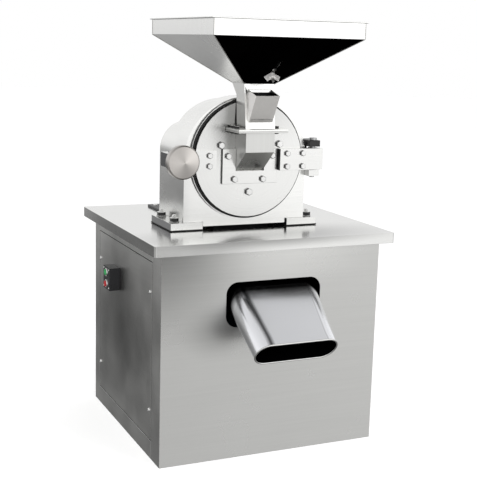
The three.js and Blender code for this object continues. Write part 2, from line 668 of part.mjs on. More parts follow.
for (const [i, y] of PULLEY.grooveY.entries()) {
  part(mill, `drive_belt_${i + 1}`, driveBelt(y), MATERIALS.rubber);
}

// ---------------------------------------------------------------- rotor

const rotor = new THREE.Group();
mill.add(rotor);

const pinAngles = [45, 135, 225, 315].map((angle) => THREE.MathUtils.degToRad(angle));
const pinPlaces = pinAngles.map((a) => [HAMMER_PIN.orbit * Math.cos(a), 0, HAMMER_PIN.orbit * Math.sin(a)]);

function pinHoles(y0, y1) {
  return pinPlaces.map(([x, , z]) => rodY(HAMMER_PIN.r + GAP, y0, y1, x, z, 16));
}

function rotorFrontPlate() {
  const y1 = ROTOR.frontY + ROTOR.plate;
  return cut(ring(SHAFT_BORE, ROTOR.r, ROTOR.frontY, y1), ...pinHoles(ROTOR.frontY - 1, y1 + 1));
}

function rotorRearPlate() {
  const y1 = ROTOR.rearY + ROTOR.plate;
  const hubY = ROTOR.frontY + ROTOR.plate + GAP;
  const blank = turned([
    [SHAFT_BORE, hubY], [ROTOR.hubR, hubY], [ROTOR.hubR, ROTOR.rearY], [ROTOR.r, ROTOR.rearY],
    [ROTOR.r, y1], [SHAFT_BORE, y1], [SHAFT_BORE, hubY],
  ]);
  return cut(blank, ...pinHoles(ROTOR.rearY - 1, y1 + 1));
}

function hammerPin() {
  const { r, headY, y0, y1, headR } = HAMMER_PIN;
  return turned([[0, headY], [headR, headY], [headR, y0], [r, y0], [r, y1], [0, y1]], 16);
}

// A beater hanging from its pin, rounded at the eye and square at the tip.
function hammer() {
  const { y0, y1, t, above, below, boreR } = HAMMER;
  const eye = rodY(above, y0, y1);
  const blade = box(-t / 2, t / 2, y0, y1, -below, 0);
  return cut(join(eye, blade), rodY(boreR, y0 - 1, y1 + 1));
}

function rotorNut() {
  const y1 = ROTOR.frontY - GAP;
  const hex = new THREE.CylinderGeometry(ROTOR_NUT.r, ROTOR_NUT.r, y1 - ROTOR_NUT.y0, 6);
  hex.translate(0, (y1 + ROTOR_NUT.y0) / 2, 0);
  return cut(toSolid(hex), rodY(SHAFT_BORE, ROTOR_NUT.y0 - 1, y1 + 1));
}

part(rotor, 'rotor_shaft', rodY(SHAFT.r, SHAFT.y0, SHAFT.y1), MATERIALS.steel);
part(rotor, 'rotor_front_plate', rotorFrontPlate(), MATERIALS.steel);
part(rotor, 'rotor_rear_plate', rotorRearPlate(), MATERIALS.steel);
part(rotor, 'rotor_nut', rotorNut(), MATERIALS.steel);
part(rotor, 'mill_pulley', vPulley(MILL_PULLEY_R, SHAFT_BORE), MATERIALS.cast);
for (const [i, place] of pinPlaces.entries()) {
  part(rotor, `hammer_pin_${i + 1}`, hammerPin(), MATERIALS.bearingSteel, place);
  part(rotor, `hammer_${i + 1}`, hammer(), MATERIALS.steel, place);
}

// ---------------------------------------------------------------- door, hinge and clamp

const door = new THREE.Group();
mill.add(door);

function doorDisc() {
  const disc = rodY(DOOR.r, DOOR.y0, DOOR.y1, 0, 0, WIDE);
  const groove = ring(SEAL.r0, SEAL.r1, DOOR.y1 - SEAL.depth, DOOR.y1 + 1, WIDE);
  const { halfW, z0, z1 } = DOOR_INLET;
  return cut(disc, groove, box(-halfW, halfW, DOOR.y0 - 1, DOOR.y1 + 1, z0, z1));
}

// The fixed ring of teeth inside the door.
function statorDisc() {
  const { r0, r1, t, y1 } = STATOR;
  const { count, orbit, w, d, length } = STATOR_TOOTH;
  let disc = ring(r0, r1, y1 - t, y1);
  for (let i = 0; i < count; i += 1) {
    const tooth = new THREE.BoxGeometry(d, length + 1, w);
    tooth.translate(orbit, y1 + (length - 1) / 2, 0);
    tooth.rotateY((2 * Math.PI * i) / count);
    disc = join(disc, toSolid(tooth));
  }
  return disc;
}

function hingeStrap() {
  const plate = box(HINGE_STRAP.x0, HINGE_STRAP.x1, HINGE_STRAP.y0, DOOR_FACE, HINGE.z0, HINGE.z1);
  const barrel = rodZ(HINGE.barrelR, HINGE.z0, HINGE.z1, HINGE.x, HINGE.y);
  const bore = rodZ(HINGE.pinR + GAP, HINGE.z0 - 1, HINGE.z1 + 1, HINGE.x, HINGE.y);
  return cut(join(plate, barrel), bore);
}

// Two ears on the housing's right wall, one above and one below the strap.
function hingeBracket() {
  const { x1, y0, y1, t, gap, webT, webY0 } = HINGE_EAR;
  const x0 = HOUSING.halfW + GAP;
  const low = HINGE.z0 - gap;
  const high = HINGE.z1 + gap;
  const web = box(x0, x0 + webT, webY0, y1, low - t, high + t);
  const ears = [box(x0, x1, y0, y1, low - t, low), box(x0, x1, y0, y1, high, high + t)];
  const bore = rodZ(HINGE.pinR + GAP, low - t - 1, high + t + 1, HINGE.x, HINGE.y);
  return cut(join(web, ...ears), bore);
}

function hingePin() {
  const top = HINGE.z1 + HINGE_EAR.gap + HINGE_EAR.t + GAP;
  const bottom = HINGE.z0 - HINGE_EAR.gap - HINGE_EAR.t - 4;
  return join(rodZ(HINGE.pinR, bottom, top + HINGE.headT), rodZ(HINGE.headR, top, top + HINGE.headT));
}

function clampStrap() {
  const { x0, x1, y0, z0, z1 } = CLAMP_STRAP;
  return cut(box(x0, x1, y0, DOOR_FACE, z0, z1), rodY(SCREW.r + 0.4, y0 - 1, DOOR_FACE + 1, CLAMP_X));
}

function clampLug() {
  const { x0, y0, y1, z0, z1, boreR } = CLAMP_LUG;
  return cut(box(x0, -HOUSING.halfW - GAP, y0, y1, z0, z1), rodY(boreR, y0 - 1, y1 + 1, CLAMP_X));
}

// A turned hand knob with a shallow coned face.
function clampKnob() {
  const { r, y0, rimY0, rimY1, hubR } = KNOB;
  const back = COLLAR.y0 - GAP;
  const blank = turned([
    [0, y0], [5, y0], [r - 3, rimY0], [r, rimY0 + 3], [r, rimY1 - 3], [r - 3, rimY1],
    [hubR, rimY1], [hubR, back], [0, back],
  ]);
  return cut(blank, rodY(SCREW.r + GAP, SCREW.y0 - GAP, back + 1));
}

part(door, 'door_disc', doorDisc(), MATERIALS.polished);
part(door, 'door_seal', ring(
  SEAL.r0 + GAP, SEAL.r1 - GAP, DOOR.y1 - SEAL.depth + GAP, DOOR.y1 + 0.1, WIDE), MATERIALS.rubber);
part(door, 'stator_disc', statorDisc(), MATERIALS.steel);
part(door, 'hinge_strap', hingeStrap(), MATERIALS.polished);
part(mill, 'hinge_bracket', hingeBracket(), MATERIALS.polished);
part(mill, 'hinge_pin', hingePin(), MATERIALS.steel, [HINGE.x, HINGE.y, 0]);
part(door, 'clamp_strap', clampStrap(), MATERIALS.polished);
part(mill, 'clamp_lug', clampLug(), MATERIALS.polished);
part(door, 'clamp_collar', ring(
  SCREW.r + GAP, COLLAR.r, COLLAR.y0, CLAMP_STRAP.y0 - GAP, SMALL), MATERIALS.steel, [CLAMP_X, 0, 0]);
part(door, 'clamp_knob', clampKnob(), MATERIALS.polished, [CLAMP_X, 0, 0]);
part(door, 'clamp_screw', rodY(SCREW.r, SCREW.y0, SCREW.y1), MATERIALS.steel, [CLAMP_X, 0, 0]);

// ---------------------------------------------------------------- inlet, neck and hopper

function inletPlate() {
  const { halfW, z0, z1, t } = INLET_PLATE;
  const gap = INLET_BOX.halfW + GAP;
  return cut(
    box(-halfW, halfW, DOOR_FACE - t, DOOR_FACE, z0, z1),
    box(-gap, gap, DOOR_FACE - t - 1, DOOR_FACE + 1, INLET_BOX.z0 - GAP, z1 + 1));
}

// A short box on the door, open behind, with a sloping floor and a flange on top.
function inletBox() {
  const { halfW, y0, z0, frontZ } = INLET_BOX;
  const top = FLANGE.z0 + FLANGE.t;
  const t = SHEET;
  const body = prismX([[DOOR_FACE, z0], [DOOR_FACE, top], [y0, top], [y0, frontZ]], halfW);
  const inside = prismX([
    [DOOR_FACE + 1, z0 + t], [DOOR_FACE + 1, top + 1], [y0 + t, top + 1], [y0 + t, frontZ + t],
    [DOOR_FACE - 2, z0 + t],
  ], halfW - t);
  const lip = box(-FLANGE.halfW, FLANGE.halfW, FLANGE.y0, FLANGE.y1, FLANGE.z0, top);
  return cut(join(body, lip), inside);
}

function rectRing({ halfW, y0, y1, z }, inset, lift = 0) {
  const [x, near, far] = [halfW - inset, y0 + inset, y1 - inset];
  return [[x, near], [x, far], [-x, far], [-x, near]].map(([a, b]) => new THREE.Vector3(a, b, z + lift));
}

// The neck between hopper and inlet, with a small hand-feeding pocket on its front.
function hopperNeck() {
  const { top, throat, bottom } = NECK;
  const tube = loft([rectRing(bottom, 0), rectRing(throat, 0), rectRing(top, 0)]);
  const bore = loft([rectRing(bottom, SHEET, -1), rectRing(throat, SHEET), rectRing(top, SHEET, 1)]);
  const flange = box(-FLANGE.halfW, FLANGE.halfW, FLANGE.y0, FLANGE.y1, bottom.z, bottom.z + FLANGE.t);
  const { halfW, topZ, lipY, lipZ, footY, footZ } = POCKET;
  const back = POCKET_BACK;
  const slot = POCKET_SLOT;
  const above = topZ + 30;
  const floor = footZ + 5;
  const wedge = prismX([[back.topY, topZ], [lipY, lipZ], [footY, footZ], [back.footY, footZ]], halfW);
  const hollow = prismX([
    [back.insideTopY, topZ + 1], [back.insideY, above], [lipY, above], [lipY + SHEET, lipZ - 1],
    [footY - 0.5, floor], [back.insideFootY, floor],
  ], halfW - SHEET);
  const passage = box(-halfW + SHEET, halfW - SHEET, slot.y0, slot.y1, slot.z0, slot.z1);
  return cut(join(cut(join(tube, wedge), hollow), flange), bore, passage);
}

const hopperFoot = { ...NECK.top, z: HOPPER.bottom };
const hopperRim = {
  halfW: HOPPER.halfW,
  y0: HOPPER.y - HOPPER.halfD,
  y1: HOPPER.y + HOPPER.halfD,
  z: HOPPER.top - HOPPER.rim,
};
const frontSlope = Math.atan2(hopperRim.z - hopperFoot.z, hopperFoot.y0 - hopperRim.y0);

// The gate's own frame lies on the hopper's front slope: y runs down the slope and z into the hopper.
function onFrontSlope(solid) {
  const tilted = solid.rotate([-THREE.MathUtils.radToDeg(frontSlope), 0, 0]);
  return tilted.translate([0, hopperFoot.y0, hopperFoot.z]);
}

function hopper() {
  const { top, lip } = HOPPER;
  const rimTop = { ...hopperRim, z: top };
  const lipTop = { ...rimTop, halfW: hopperRim.halfW + lip, y0: hopperRim.y0 - lip, y1: hopperRim.y1 + lip };
  const outer = loft([rectRing(hopperFoot, 0), rectRing(hopperRim, 0), rectRing(rimTop, 0)]);
  const fold = loft([rectRing(lipTop, 0, -SHEET), rectRing(lipTop, 0)]);
  const inner = loft([
    rectRing(hopperFoot, SHEET, -0.6), rectRing(hopperRim, SHEET, 0.6), rectRing(rimTop, SHEET, 1),
  ]);
  const { x, at, slotHalfW, slotEnd } = GATE_STUD;
  const slotTop = at + GATE.travel + slotEnd;
  const slot = onFrontSlope(box(x - slotHalfW, x + slotHalfW, -slotTop, slotEnd - at, -9, 9));
  return cut(join(outer, fold), inner, slot);
}

function feedGate() {
  const { halfW, up, down, t, lift } = GATE;
  const plate = box(-halfW, halfW, -up, down, lift, lift + t);
  return join(plate, rodZ(GATE_STUD.r, -GATE_STUD.out, lift + 1, GATE_STUD.x, -GATE_STUD.at));
}

function wingNut() {
  const { r, h, span } = WING_NUT;
  let nut = rodZ(r, -h, 0);
  for (const side of [-1, 1]) {
    const wing = new THREE.BoxGeometry(span - r + WING.overlap, WING.t, WING.h);
    wing.rotateY(side * WING.tilt);
    wing.translate(side * (span + r - WING.overlap) / 2, 0, -h / 2 - WING.sink);
    nut = join(nut, toSolid(wing));
  }
  return cut(nut, rodZ(GATE_STUD.r + GAP, -GATE_STUD.out - 1, 1));
}

part(door, 'inlet_plate', inletPlate(), MATERIALS.polished);
part(door, 'inlet_box', inletBox(), MATERIALS.brushed);
part(door, 'hopper_neck', hopperNeck(), MATERIALS.brushed);
part(door, 'hopper', hopper(), MATERIALS.polished);

const gate = new THREE.Group();
gate.position.set(0, hopperFoot.y0, hopperFoot.z);
gate.rotation.x = -frontSlope;
door.add(gate);
part(gate, 'feed_gate', feedGate(), MATERIALS.brushed);
const wingNutPlace = [GATE_STUD.x, -GATE_STUD.at, -WING_NUT.seat];
part(gate, 'gate_wing_nut', wingNut(), MATERIALS.polished, wingNutPlace);

export default model;
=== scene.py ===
"""Looks of the hammer mill: a stainless grinder on its motor cabinet. Metres, +Z up, the front faces -Y."""

import math

import bmesh
import bpy
from mathutils import Matrix, Vector
from mathutils.bvhtree import BVHTree


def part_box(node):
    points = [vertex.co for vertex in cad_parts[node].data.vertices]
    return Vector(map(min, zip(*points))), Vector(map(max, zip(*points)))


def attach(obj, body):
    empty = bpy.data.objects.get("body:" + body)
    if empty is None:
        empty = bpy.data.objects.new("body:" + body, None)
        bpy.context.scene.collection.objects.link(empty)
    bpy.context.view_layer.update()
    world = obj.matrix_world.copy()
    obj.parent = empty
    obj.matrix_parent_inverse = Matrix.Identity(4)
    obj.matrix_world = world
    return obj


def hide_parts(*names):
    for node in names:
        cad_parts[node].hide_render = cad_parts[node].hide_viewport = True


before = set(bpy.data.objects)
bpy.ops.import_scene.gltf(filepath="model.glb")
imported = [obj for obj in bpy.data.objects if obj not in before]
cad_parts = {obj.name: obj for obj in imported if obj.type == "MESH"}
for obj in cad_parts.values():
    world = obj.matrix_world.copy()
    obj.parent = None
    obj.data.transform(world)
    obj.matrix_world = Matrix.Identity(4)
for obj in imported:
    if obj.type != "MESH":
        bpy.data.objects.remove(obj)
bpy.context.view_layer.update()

MM = 0.001
FRONT = Vector((0, -1, 0))
BACK = Vector((0, 1, 0))
UP = Vector((0, 0, 1))
DOWN = Vector((0, 0, -1))
LEFT = Vector((-1, 0, 0))
RIGHT = Vector((1, 0, 0))

# ---------------------------------------------------------------- places

shaft_low, shaft_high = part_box("rotor_shaft")
AXIS = Vector(((shaft_low.x + shaft_high.x) / 2, 0, (shaft_low.z + shaft_high.z) / 2))
panel_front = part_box("front_panel")[0].y


def mill(x, y, z):
    """A point in millimetres from the rotor's axis, and from the cabinet's middle in y."""
    return AXIS + Vector((x, y, z)) * MM


# ---------------------------------------------------------------- node helpers

NOISE_SPAN = (0.3, 0.7)     # a noise texture mostly stays between these
MARK_DEPTH = 0.0003         # depth of brush and lathe marks


def add(tree, kind, inputs=None, **attributes):
    """A shader node with its attributes set and its inputs set or linked."""
    made = tree.nodes.new(kind)
    for key, value in attributes.items():
        setattr(made, key, value)
    for key, value in (inputs or {}).items():
        if isinstance(value, bpy.types.NodeSocket):
            tree.links.new(value, made.inputs[key])
        else:
            made.inputs[key].default_value = value
    return made


def math_node(tree, operation, a, b=0.0):
    return add(tree, "ShaderNodeMath", {0: a, 1: b}, operation=operation).outputs[0]


def times(tree, a, b):
    return math_node(tree, "MULTIPLY", a, b)


def vector_node(tree, operation, a, b=(0, 0, 0)):
    made = add(tree, "ShaderNodeVectorMath", {0: a, 1: b}, operation=operation)
    return made.outputs["Value"] if operation in ("LENGTH", "DOT_PRODUCT") else made.outputs["Vector"]


def split(tree, vector):
    """The X, Y and Z sockets of a vector."""
    return add(tree, "ShaderNodeSeparateXYZ", {"Vector": vector}).outputs


def spread(tree, value, low, high, start=0.0, end=1.0, way="LINEAR"):
    """value, from start..end, mapped to low..high."""
    inputs = {"Value": value, "From Min": start, "From Max": end, "To Min": low, "To Max": high}
    return add(tree, "ShaderNodeMapRange", inputs, interpolation_type=way).outputs["Result"]


def noise_spread(tree, value, low, high):
    """A noise mapped to low..high over the values it mostly has."""
    return spread(tree, value, low, high, *NOISE_SPAN)


def two_tone(tree, value, dark, light):
    """A colour ramp from dark to light."""
    ramp = add(tree, "ShaderNodeValToRGB", {"Fac": value})
    ramp.color_ramp.elements[0].color = (*dark, 1)
    ramp.color_ramp.elements[1].color = (*light, 1)
    return ramp.outputs["Color"]


def shade(color, amount):
    return tuple(min(1.0, c * amount) for c in color)


def mottled(tree, value, tint, vary):
    """The tint, made darker to lighter by the share vary as a noise rises."""
    return two_tone(tree, noise_spread(tree, value, 0, 1), shade(tint, 1 - vary), shade(tint, 1 + vary))


def greyed(tree, colour, share):
    """The colour with all its channels multiplied by share."""
    grey = add(tree, "ShaderNodeCombineXYZ", {0: share, 1: share, 2: share}).outputs[0]
    return vector_node(tree, "MULTIPLY", colour, grey)


def paint_shade_spots(tree, colour, coords, shade_spots):
    """Painted shade: the colour made darker towards some places, or lighter where the amount is below zero.
    Each spot is a centre, a size on each axis and an amount.
    """
    for centre, size, amount in shade_spots:
        inverse = tuple(1 / s for s in size)
        away = vector_node(tree, "MULTIPLY", vector_node(tree, "SUBTRACT", coords, tuple(centre)), inverse)
        distance = vector_node(tree, "LENGTH", away)
        colour = greyed(tree, colour, spread(tree, distance, 1 - amount, 1.0, 0.0, 1.0, "SMOOTHSTEP"))
    return colour


def object_coords(tree):
    return add(tree, "ShaderNodeTexCoord").outputs["Object"]


def noise(tree, vector, scale, detail=3.0, roughness=0.55):
    inputs = {"Vector": vector, "Scale": scale, "Detail": detail, "Roughness": roughness}
    return add(tree, "ShaderNodeTexNoise", inputs).outputs["Fac"]


def brush_lines(tree, coords, grain):
    """A noise drawn out into lines: grain is how often it changes along x, y and z, per metre."""
    return noise(tree, vector_node(tree, "MULTIPLY", coords, grain), 1.0, 4.0, 0.65)


def start_material(name, metallic=0.0):
    material = bpy.data.materials.new(name)
    material.use_nodes = True
    shader = material.node_tree.nodes["Principled BSDF"]
    shader.inputs["Metallic"].default_value = metallic
    return material, material.node_tree, shader


def finish_surface(tree, shader, colour, roughness, height, bump, distance=MARK_DEPTH):
    tree.links.new(colour, shader.inputs["Base Color"])
    tree.links.new(roughness, shader.inputs["Roughness"])
    normal = add(tree, "ShaderNodeBump", {"Height": height, "Strength": bump, "Distance": distance})
    tree.links.new(normal.outputs["Normal"], shader.inputs["Normal"])


# ---------------------------------------------------------------- materials

STEEL = (0.62, 0.62, 0.605)
BRIGHT = (0.82, 0.82, 0.805)
LINE_SHARE = 0.55           # how much of a sheet's colour follows its brush lines; the rest follows smudges
RING_SHARE = 0.5            # the same for the rings of a turned face
WEDGES = 2.0                # painted highlight wedges on a turned face, with painted dark ones between them, for the sheen of its rings
WEDGE_TURN = 0.9            # how far the wedges are turned
STREAK_AT = 0.034           # the spout's painted dark reflection, a streak, lies this far in from its sides
STREAK_HALF = 0.011
STREAK_SHIFT = 0.75         # share of STREAK_HALF that weakens the streak on the right
STREAK_DARK = 0.12          # share of the colour that is left in the streak's middle
FLAT_SHARE = 0.84           # share that is left on the flat top, painted a little darker than the round sides
ROOT_DARK = 0.02            # share that is left in the painted shade of the panel's hole
ROOT_SPAN = (0.024, 0.008)  # that shade grows between these distances before the panel
SPOUT = {
    "mouth_y": -0.409, "mouth_z": 0.308, "mouth_w": 0.22,
    "panel_w": 0.246, "height": 0.07, "wall": 0.002,
}


def brushed(name, tint, rough, grain, bump, vary, shade_spots=(), smudge=7.0, rough_vary=0.05):
    """Sheet with fine brush lines, faint smudges and painted shade spots."""
    material, tree, shader = start_material(name, 1.0)
    coords = object_coords(tree)
    lines = brush_lines(tree, coords, grain)
    patches = noise(tree, coords, smudge, 4.0)
    mixed = math_node(tree, "ADD", times(tree, lines, LINE_SHARE), times(tree, patches, 1 - LINE_SHARE))
    colour = paint_shade_spots(tree, mottled(tree, mixed, tint, vary), coords, shade_spots)
    roughness = noise_spread(tree, patches, rough - rough_vary, rough + rough_vary)
    finish_surface(tree, shader, colour, roughness, lines, bump)
    return material


def turned(name, tint, rough, centre, pitch, bump, vary=0.06, anisotropy=0.0, wedge=0.0, shade_spots=()):
    """Metal with fine rings about an axis along y through centre, as a lathe leaves it, with painted
    highlight wedges and painted shade spots.
    """
    material, tree, shader = start_material(name, 1.0)
    shader.inputs["Anisotropic"].default_value = anisotropy
    coords = object_coords(tree)
    offset = vector_node(tree, "SUBTRACT", coords, tuple(centre))
    radius = vector_node(tree, "LENGTH", vector_node(tree, "MULTIPLY", offset, (1, 0, 1)))
    inputs = {"W": times(tree, radius, pitch), "Scale": 1.0, "Detail": 3.0}
    rings = add(tree, "ShaderNodeTexNoise", inputs, noise_dimensions="1D").outputs["Fac"]
    patches = noise(tree, coords, 9.0)
    mixed = math_node(tree, "ADD", times(tree, rings, RING_SHARE), times(tree, patches, 1 - RING_SHARE))
    colour = mottled(tree, mixed, tint, vary)
    if wedge:
        place = split(tree, offset)
        turn = times(tree, math_node(tree, "ARCTAN2", place["Z"], place["X"]), WEDGES)
        wave = math_node(tree, "SINE", math_node(tree, "ADD", turn, WEDGE_TURN))
        colour = greyed(tree, colour, spread(tree, wave, 1 - wedge, 1 + wedge, -1.0, 1.0))
    colour = paint_shade_spots(tree, colour, coords, shade_spots)
    roughness = noise_spread(tree, patches, rough - 0.04, rough + 0.06)
    finish_surface(tree, shader, colour, roughness, rings, bump)
    if anisotropy:
        tangent = add(tree, "ShaderNodeTangent", direction_type="RADIAL", axis="Y")
        tree.links.new(tangent.outputs["Tangent"], shader.inputs["Tangent"])
    return material


def cast(name, tint, rough):
    """Cast metal with a fine sand texture."""
    material, tree, shader = start_material(name, 0.85)
    coords = object_coords(tree)
    sand = noise(tree, coords, 260.0, 5.0, 0.7)
    patches = noise(tree, coords, 12.0)
    roughness = noise_spread(tree, patches, rough - 0.08, rough + 0.08)
    finish_surface(tree, shader, mottled(tree, patches, tint, 0.2), roughness, sand, 0.5, 2 * MARK_DEPTH)
    return material


def moulded(name, tint, rough, grit, bump, coat=0.0):
    """Plastic, rubber or paint with a fine moulded skin."""
    material, tree, shader = start_material(name)
    shader.inputs["Coat Weight"].default_value = coat
    shader.inputs["Coat Roughness"].default_value = 0.15
    coords = object_coords(tree)
    skin = noise(tree, coords, grit)
    patches = noise(tree, coords, 15.0)
    roughness = noise_spread(tree, patches, rough - 0.05, rough + 0.05)
    finish_surface(tree, shader, mottled(tree, patches, tint, 0.12), roughness, skin, bump, 0.0004)
    return material


def satin(name, tint):
    """A matt folded sheet, which shines a little whichever way it faces."""
    material, tree, shader = start_material(name, 0.3)
    lines = brush_lines(tree, object_coords(tree), (170, 170, 6))
    roughness = noise_spread(tree, lines, 0.38, 0.46)
    finish_surface(tree, shader, mottled(tree, lines, tint, 0.03), roughness, lines, 0.03)
    return material


def spout_metal(name, tint):
    """Polished sheet with painted shade near the panel's hole, a painted dark reflection in a streak where
    each round side meets the flat top, and a flat top painted a little darker.
    """
    material, tree, shader = start_material(name, 1.0)
    coords = object_coords(tree)
    place = split(tree, coords)
    half = spread(tree, place["Y"], SPOUT["mouth_w"] / 2, SPOUT["panel_w"] / 2, SPOUT["mouth_y"], panel_front)
    inward = math_node(tree, "SUBTRACT", half, math_node(tree, "ABSOLUTE", place["X"]))
    away = math_node(tree, "ABSOLUTE", math_node(tree, "SUBTRACT", inward, STREAK_AT))
    right = math_node(tree, "GREATER_THAN", place["X"], 0.0)
    away = math_node(tree, "ADD", away, times(tree, right, STREAK_SHIFT * STREAK_HALF))
    streak = spread(tree, away, STREAK_DARK, 1.0, 0.001, STREAK_HALF)
    flat = spread(tree, inward, 1.0, FLAT_SHARE, STREAK_AT - 0.004, STREAK_AT + 0.004)
    far, near = ROOT_SPAN
    root = spread(tree, place["Y"], 1.0, ROOT_DARK, panel_front - far, panel_front - near)
    patches = noise(tree, coords, 7.0, 4.0)
    share = times(tree, times(tree, streak, flat), root)
    colour = greyed(tree, mottled(tree, patches, tint, 0.03), share)
    finish_surface(tree, shader, colour, noise_spread(tree, patches, 0.16, 0.24), patches, 0.02)
    return material


def perforated(name, tint, rough, pitch):
    """Screen plate with round holes painted nearly black for the shade seen through them, pitch metres apart
    round the rotor's axis.
    """
    material, tree, shader = start_material(name, 1.0)
    place = split(tree, vector_node(tree, "SUBTRACT", object_coords(tree), tuple(AXIS)))
    low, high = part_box("screen_ring")
    radius = (high.x - low.x) / 2
    angle = math_node(tree, "ARCTAN2", place["X"], place["Z"])
    across = math_node(tree, "FRACT", times(tree, angle, radius / pitch))
    along = math_node(tree, "FRACT", math_node(tree, "DIVIDE", place["Y"], pitch))
    flat = add(tree, "ShaderNodeCombineXYZ", {"X": across, "Y": along}).outputs["Vector"]
    away = vector_node(tree, "LENGTH", vector_node(tree, "SUBTRACT", flat, (0.5, 0.5, 0)))
    solid = math_node(tree, "GREATER_THAN", away, 0.3)
    colour = two_tone(tree, solid, (0.01, 0.01, 0.01), tint)
    finish_surface(tree, shader, colour, spread(tree, solid, 0.9, rough), solid, 0.6, 0.0005)
    return material


# ---------------------------------------------------------------- looks

disc_centre = mill(0, 0, 0)
knob_low, knob_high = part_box("clamp_knob")
knob_centre = (knob_low + knob_high) / 2

# Painted reflections, shade and highlights, one list of spots for each surface.
# Where the photo's surfaces reflect something darker, or lighter where the amount is below zero.
PANEL_SHADE_SPOTS = [
    ((-0.3, -0.27, 0.56), (0.28, 1, 0.28), 0.58),
    ((-0.157, -0.27, 0.335), (0.12, 1, 0.08), 0.3),
    ((0.04, -0.27, 0.53), (0.28, 1, 0.12), -0.2),
]
SIDE_SHADE_SPOTS = [((side * 0.3, 0.03, 0.3), (0.1, 0.4, 0.3), 0.66) for side in (-1, 1)]
TABLE_SHADE_SPOTS = [((-0.02, -0.24, 0.566), (0.45, 0.18, 0.03), 0.68)]
BOX_SHADE_SPOTS = [(mill(0, -185, -24), (0.06, 0.06, 0.05), 0.45)]
DOOR_SHADE_SPOTS = [
    (mill(-40, -150, 190), (0.3, 1, 0.24), 0.36),
    (mill(-62, -150, 80), (0.06, 1, 0.13), 0.35),
]
SLOPE_SHADE_SPOTS = [(mill(-60, -160, 190), (0.2, 0.3, 0.16), 0.3)]
BARREL_SHADE_SPOTS = [(mill(-172, -40, -170), (0.03, 0.4, 0.22), 0.12)]

# Brush lines that run level, upright, up and down a slope, or every way.
LEVEL = (3, 3, 170)
FINE_LEVEL = (6, 6, 200)
UPRIGHT = (170, 3, 3)
SLOPING = (200, 200, 9)
EVERY_WAY = (60, 60, 60)
FINE_EVERY_WAY = (90, 90, 90)

POLISHED = "polished_stainless"
BRUSHED = "brushed_stainless"
MACHINED = "machined_steel"
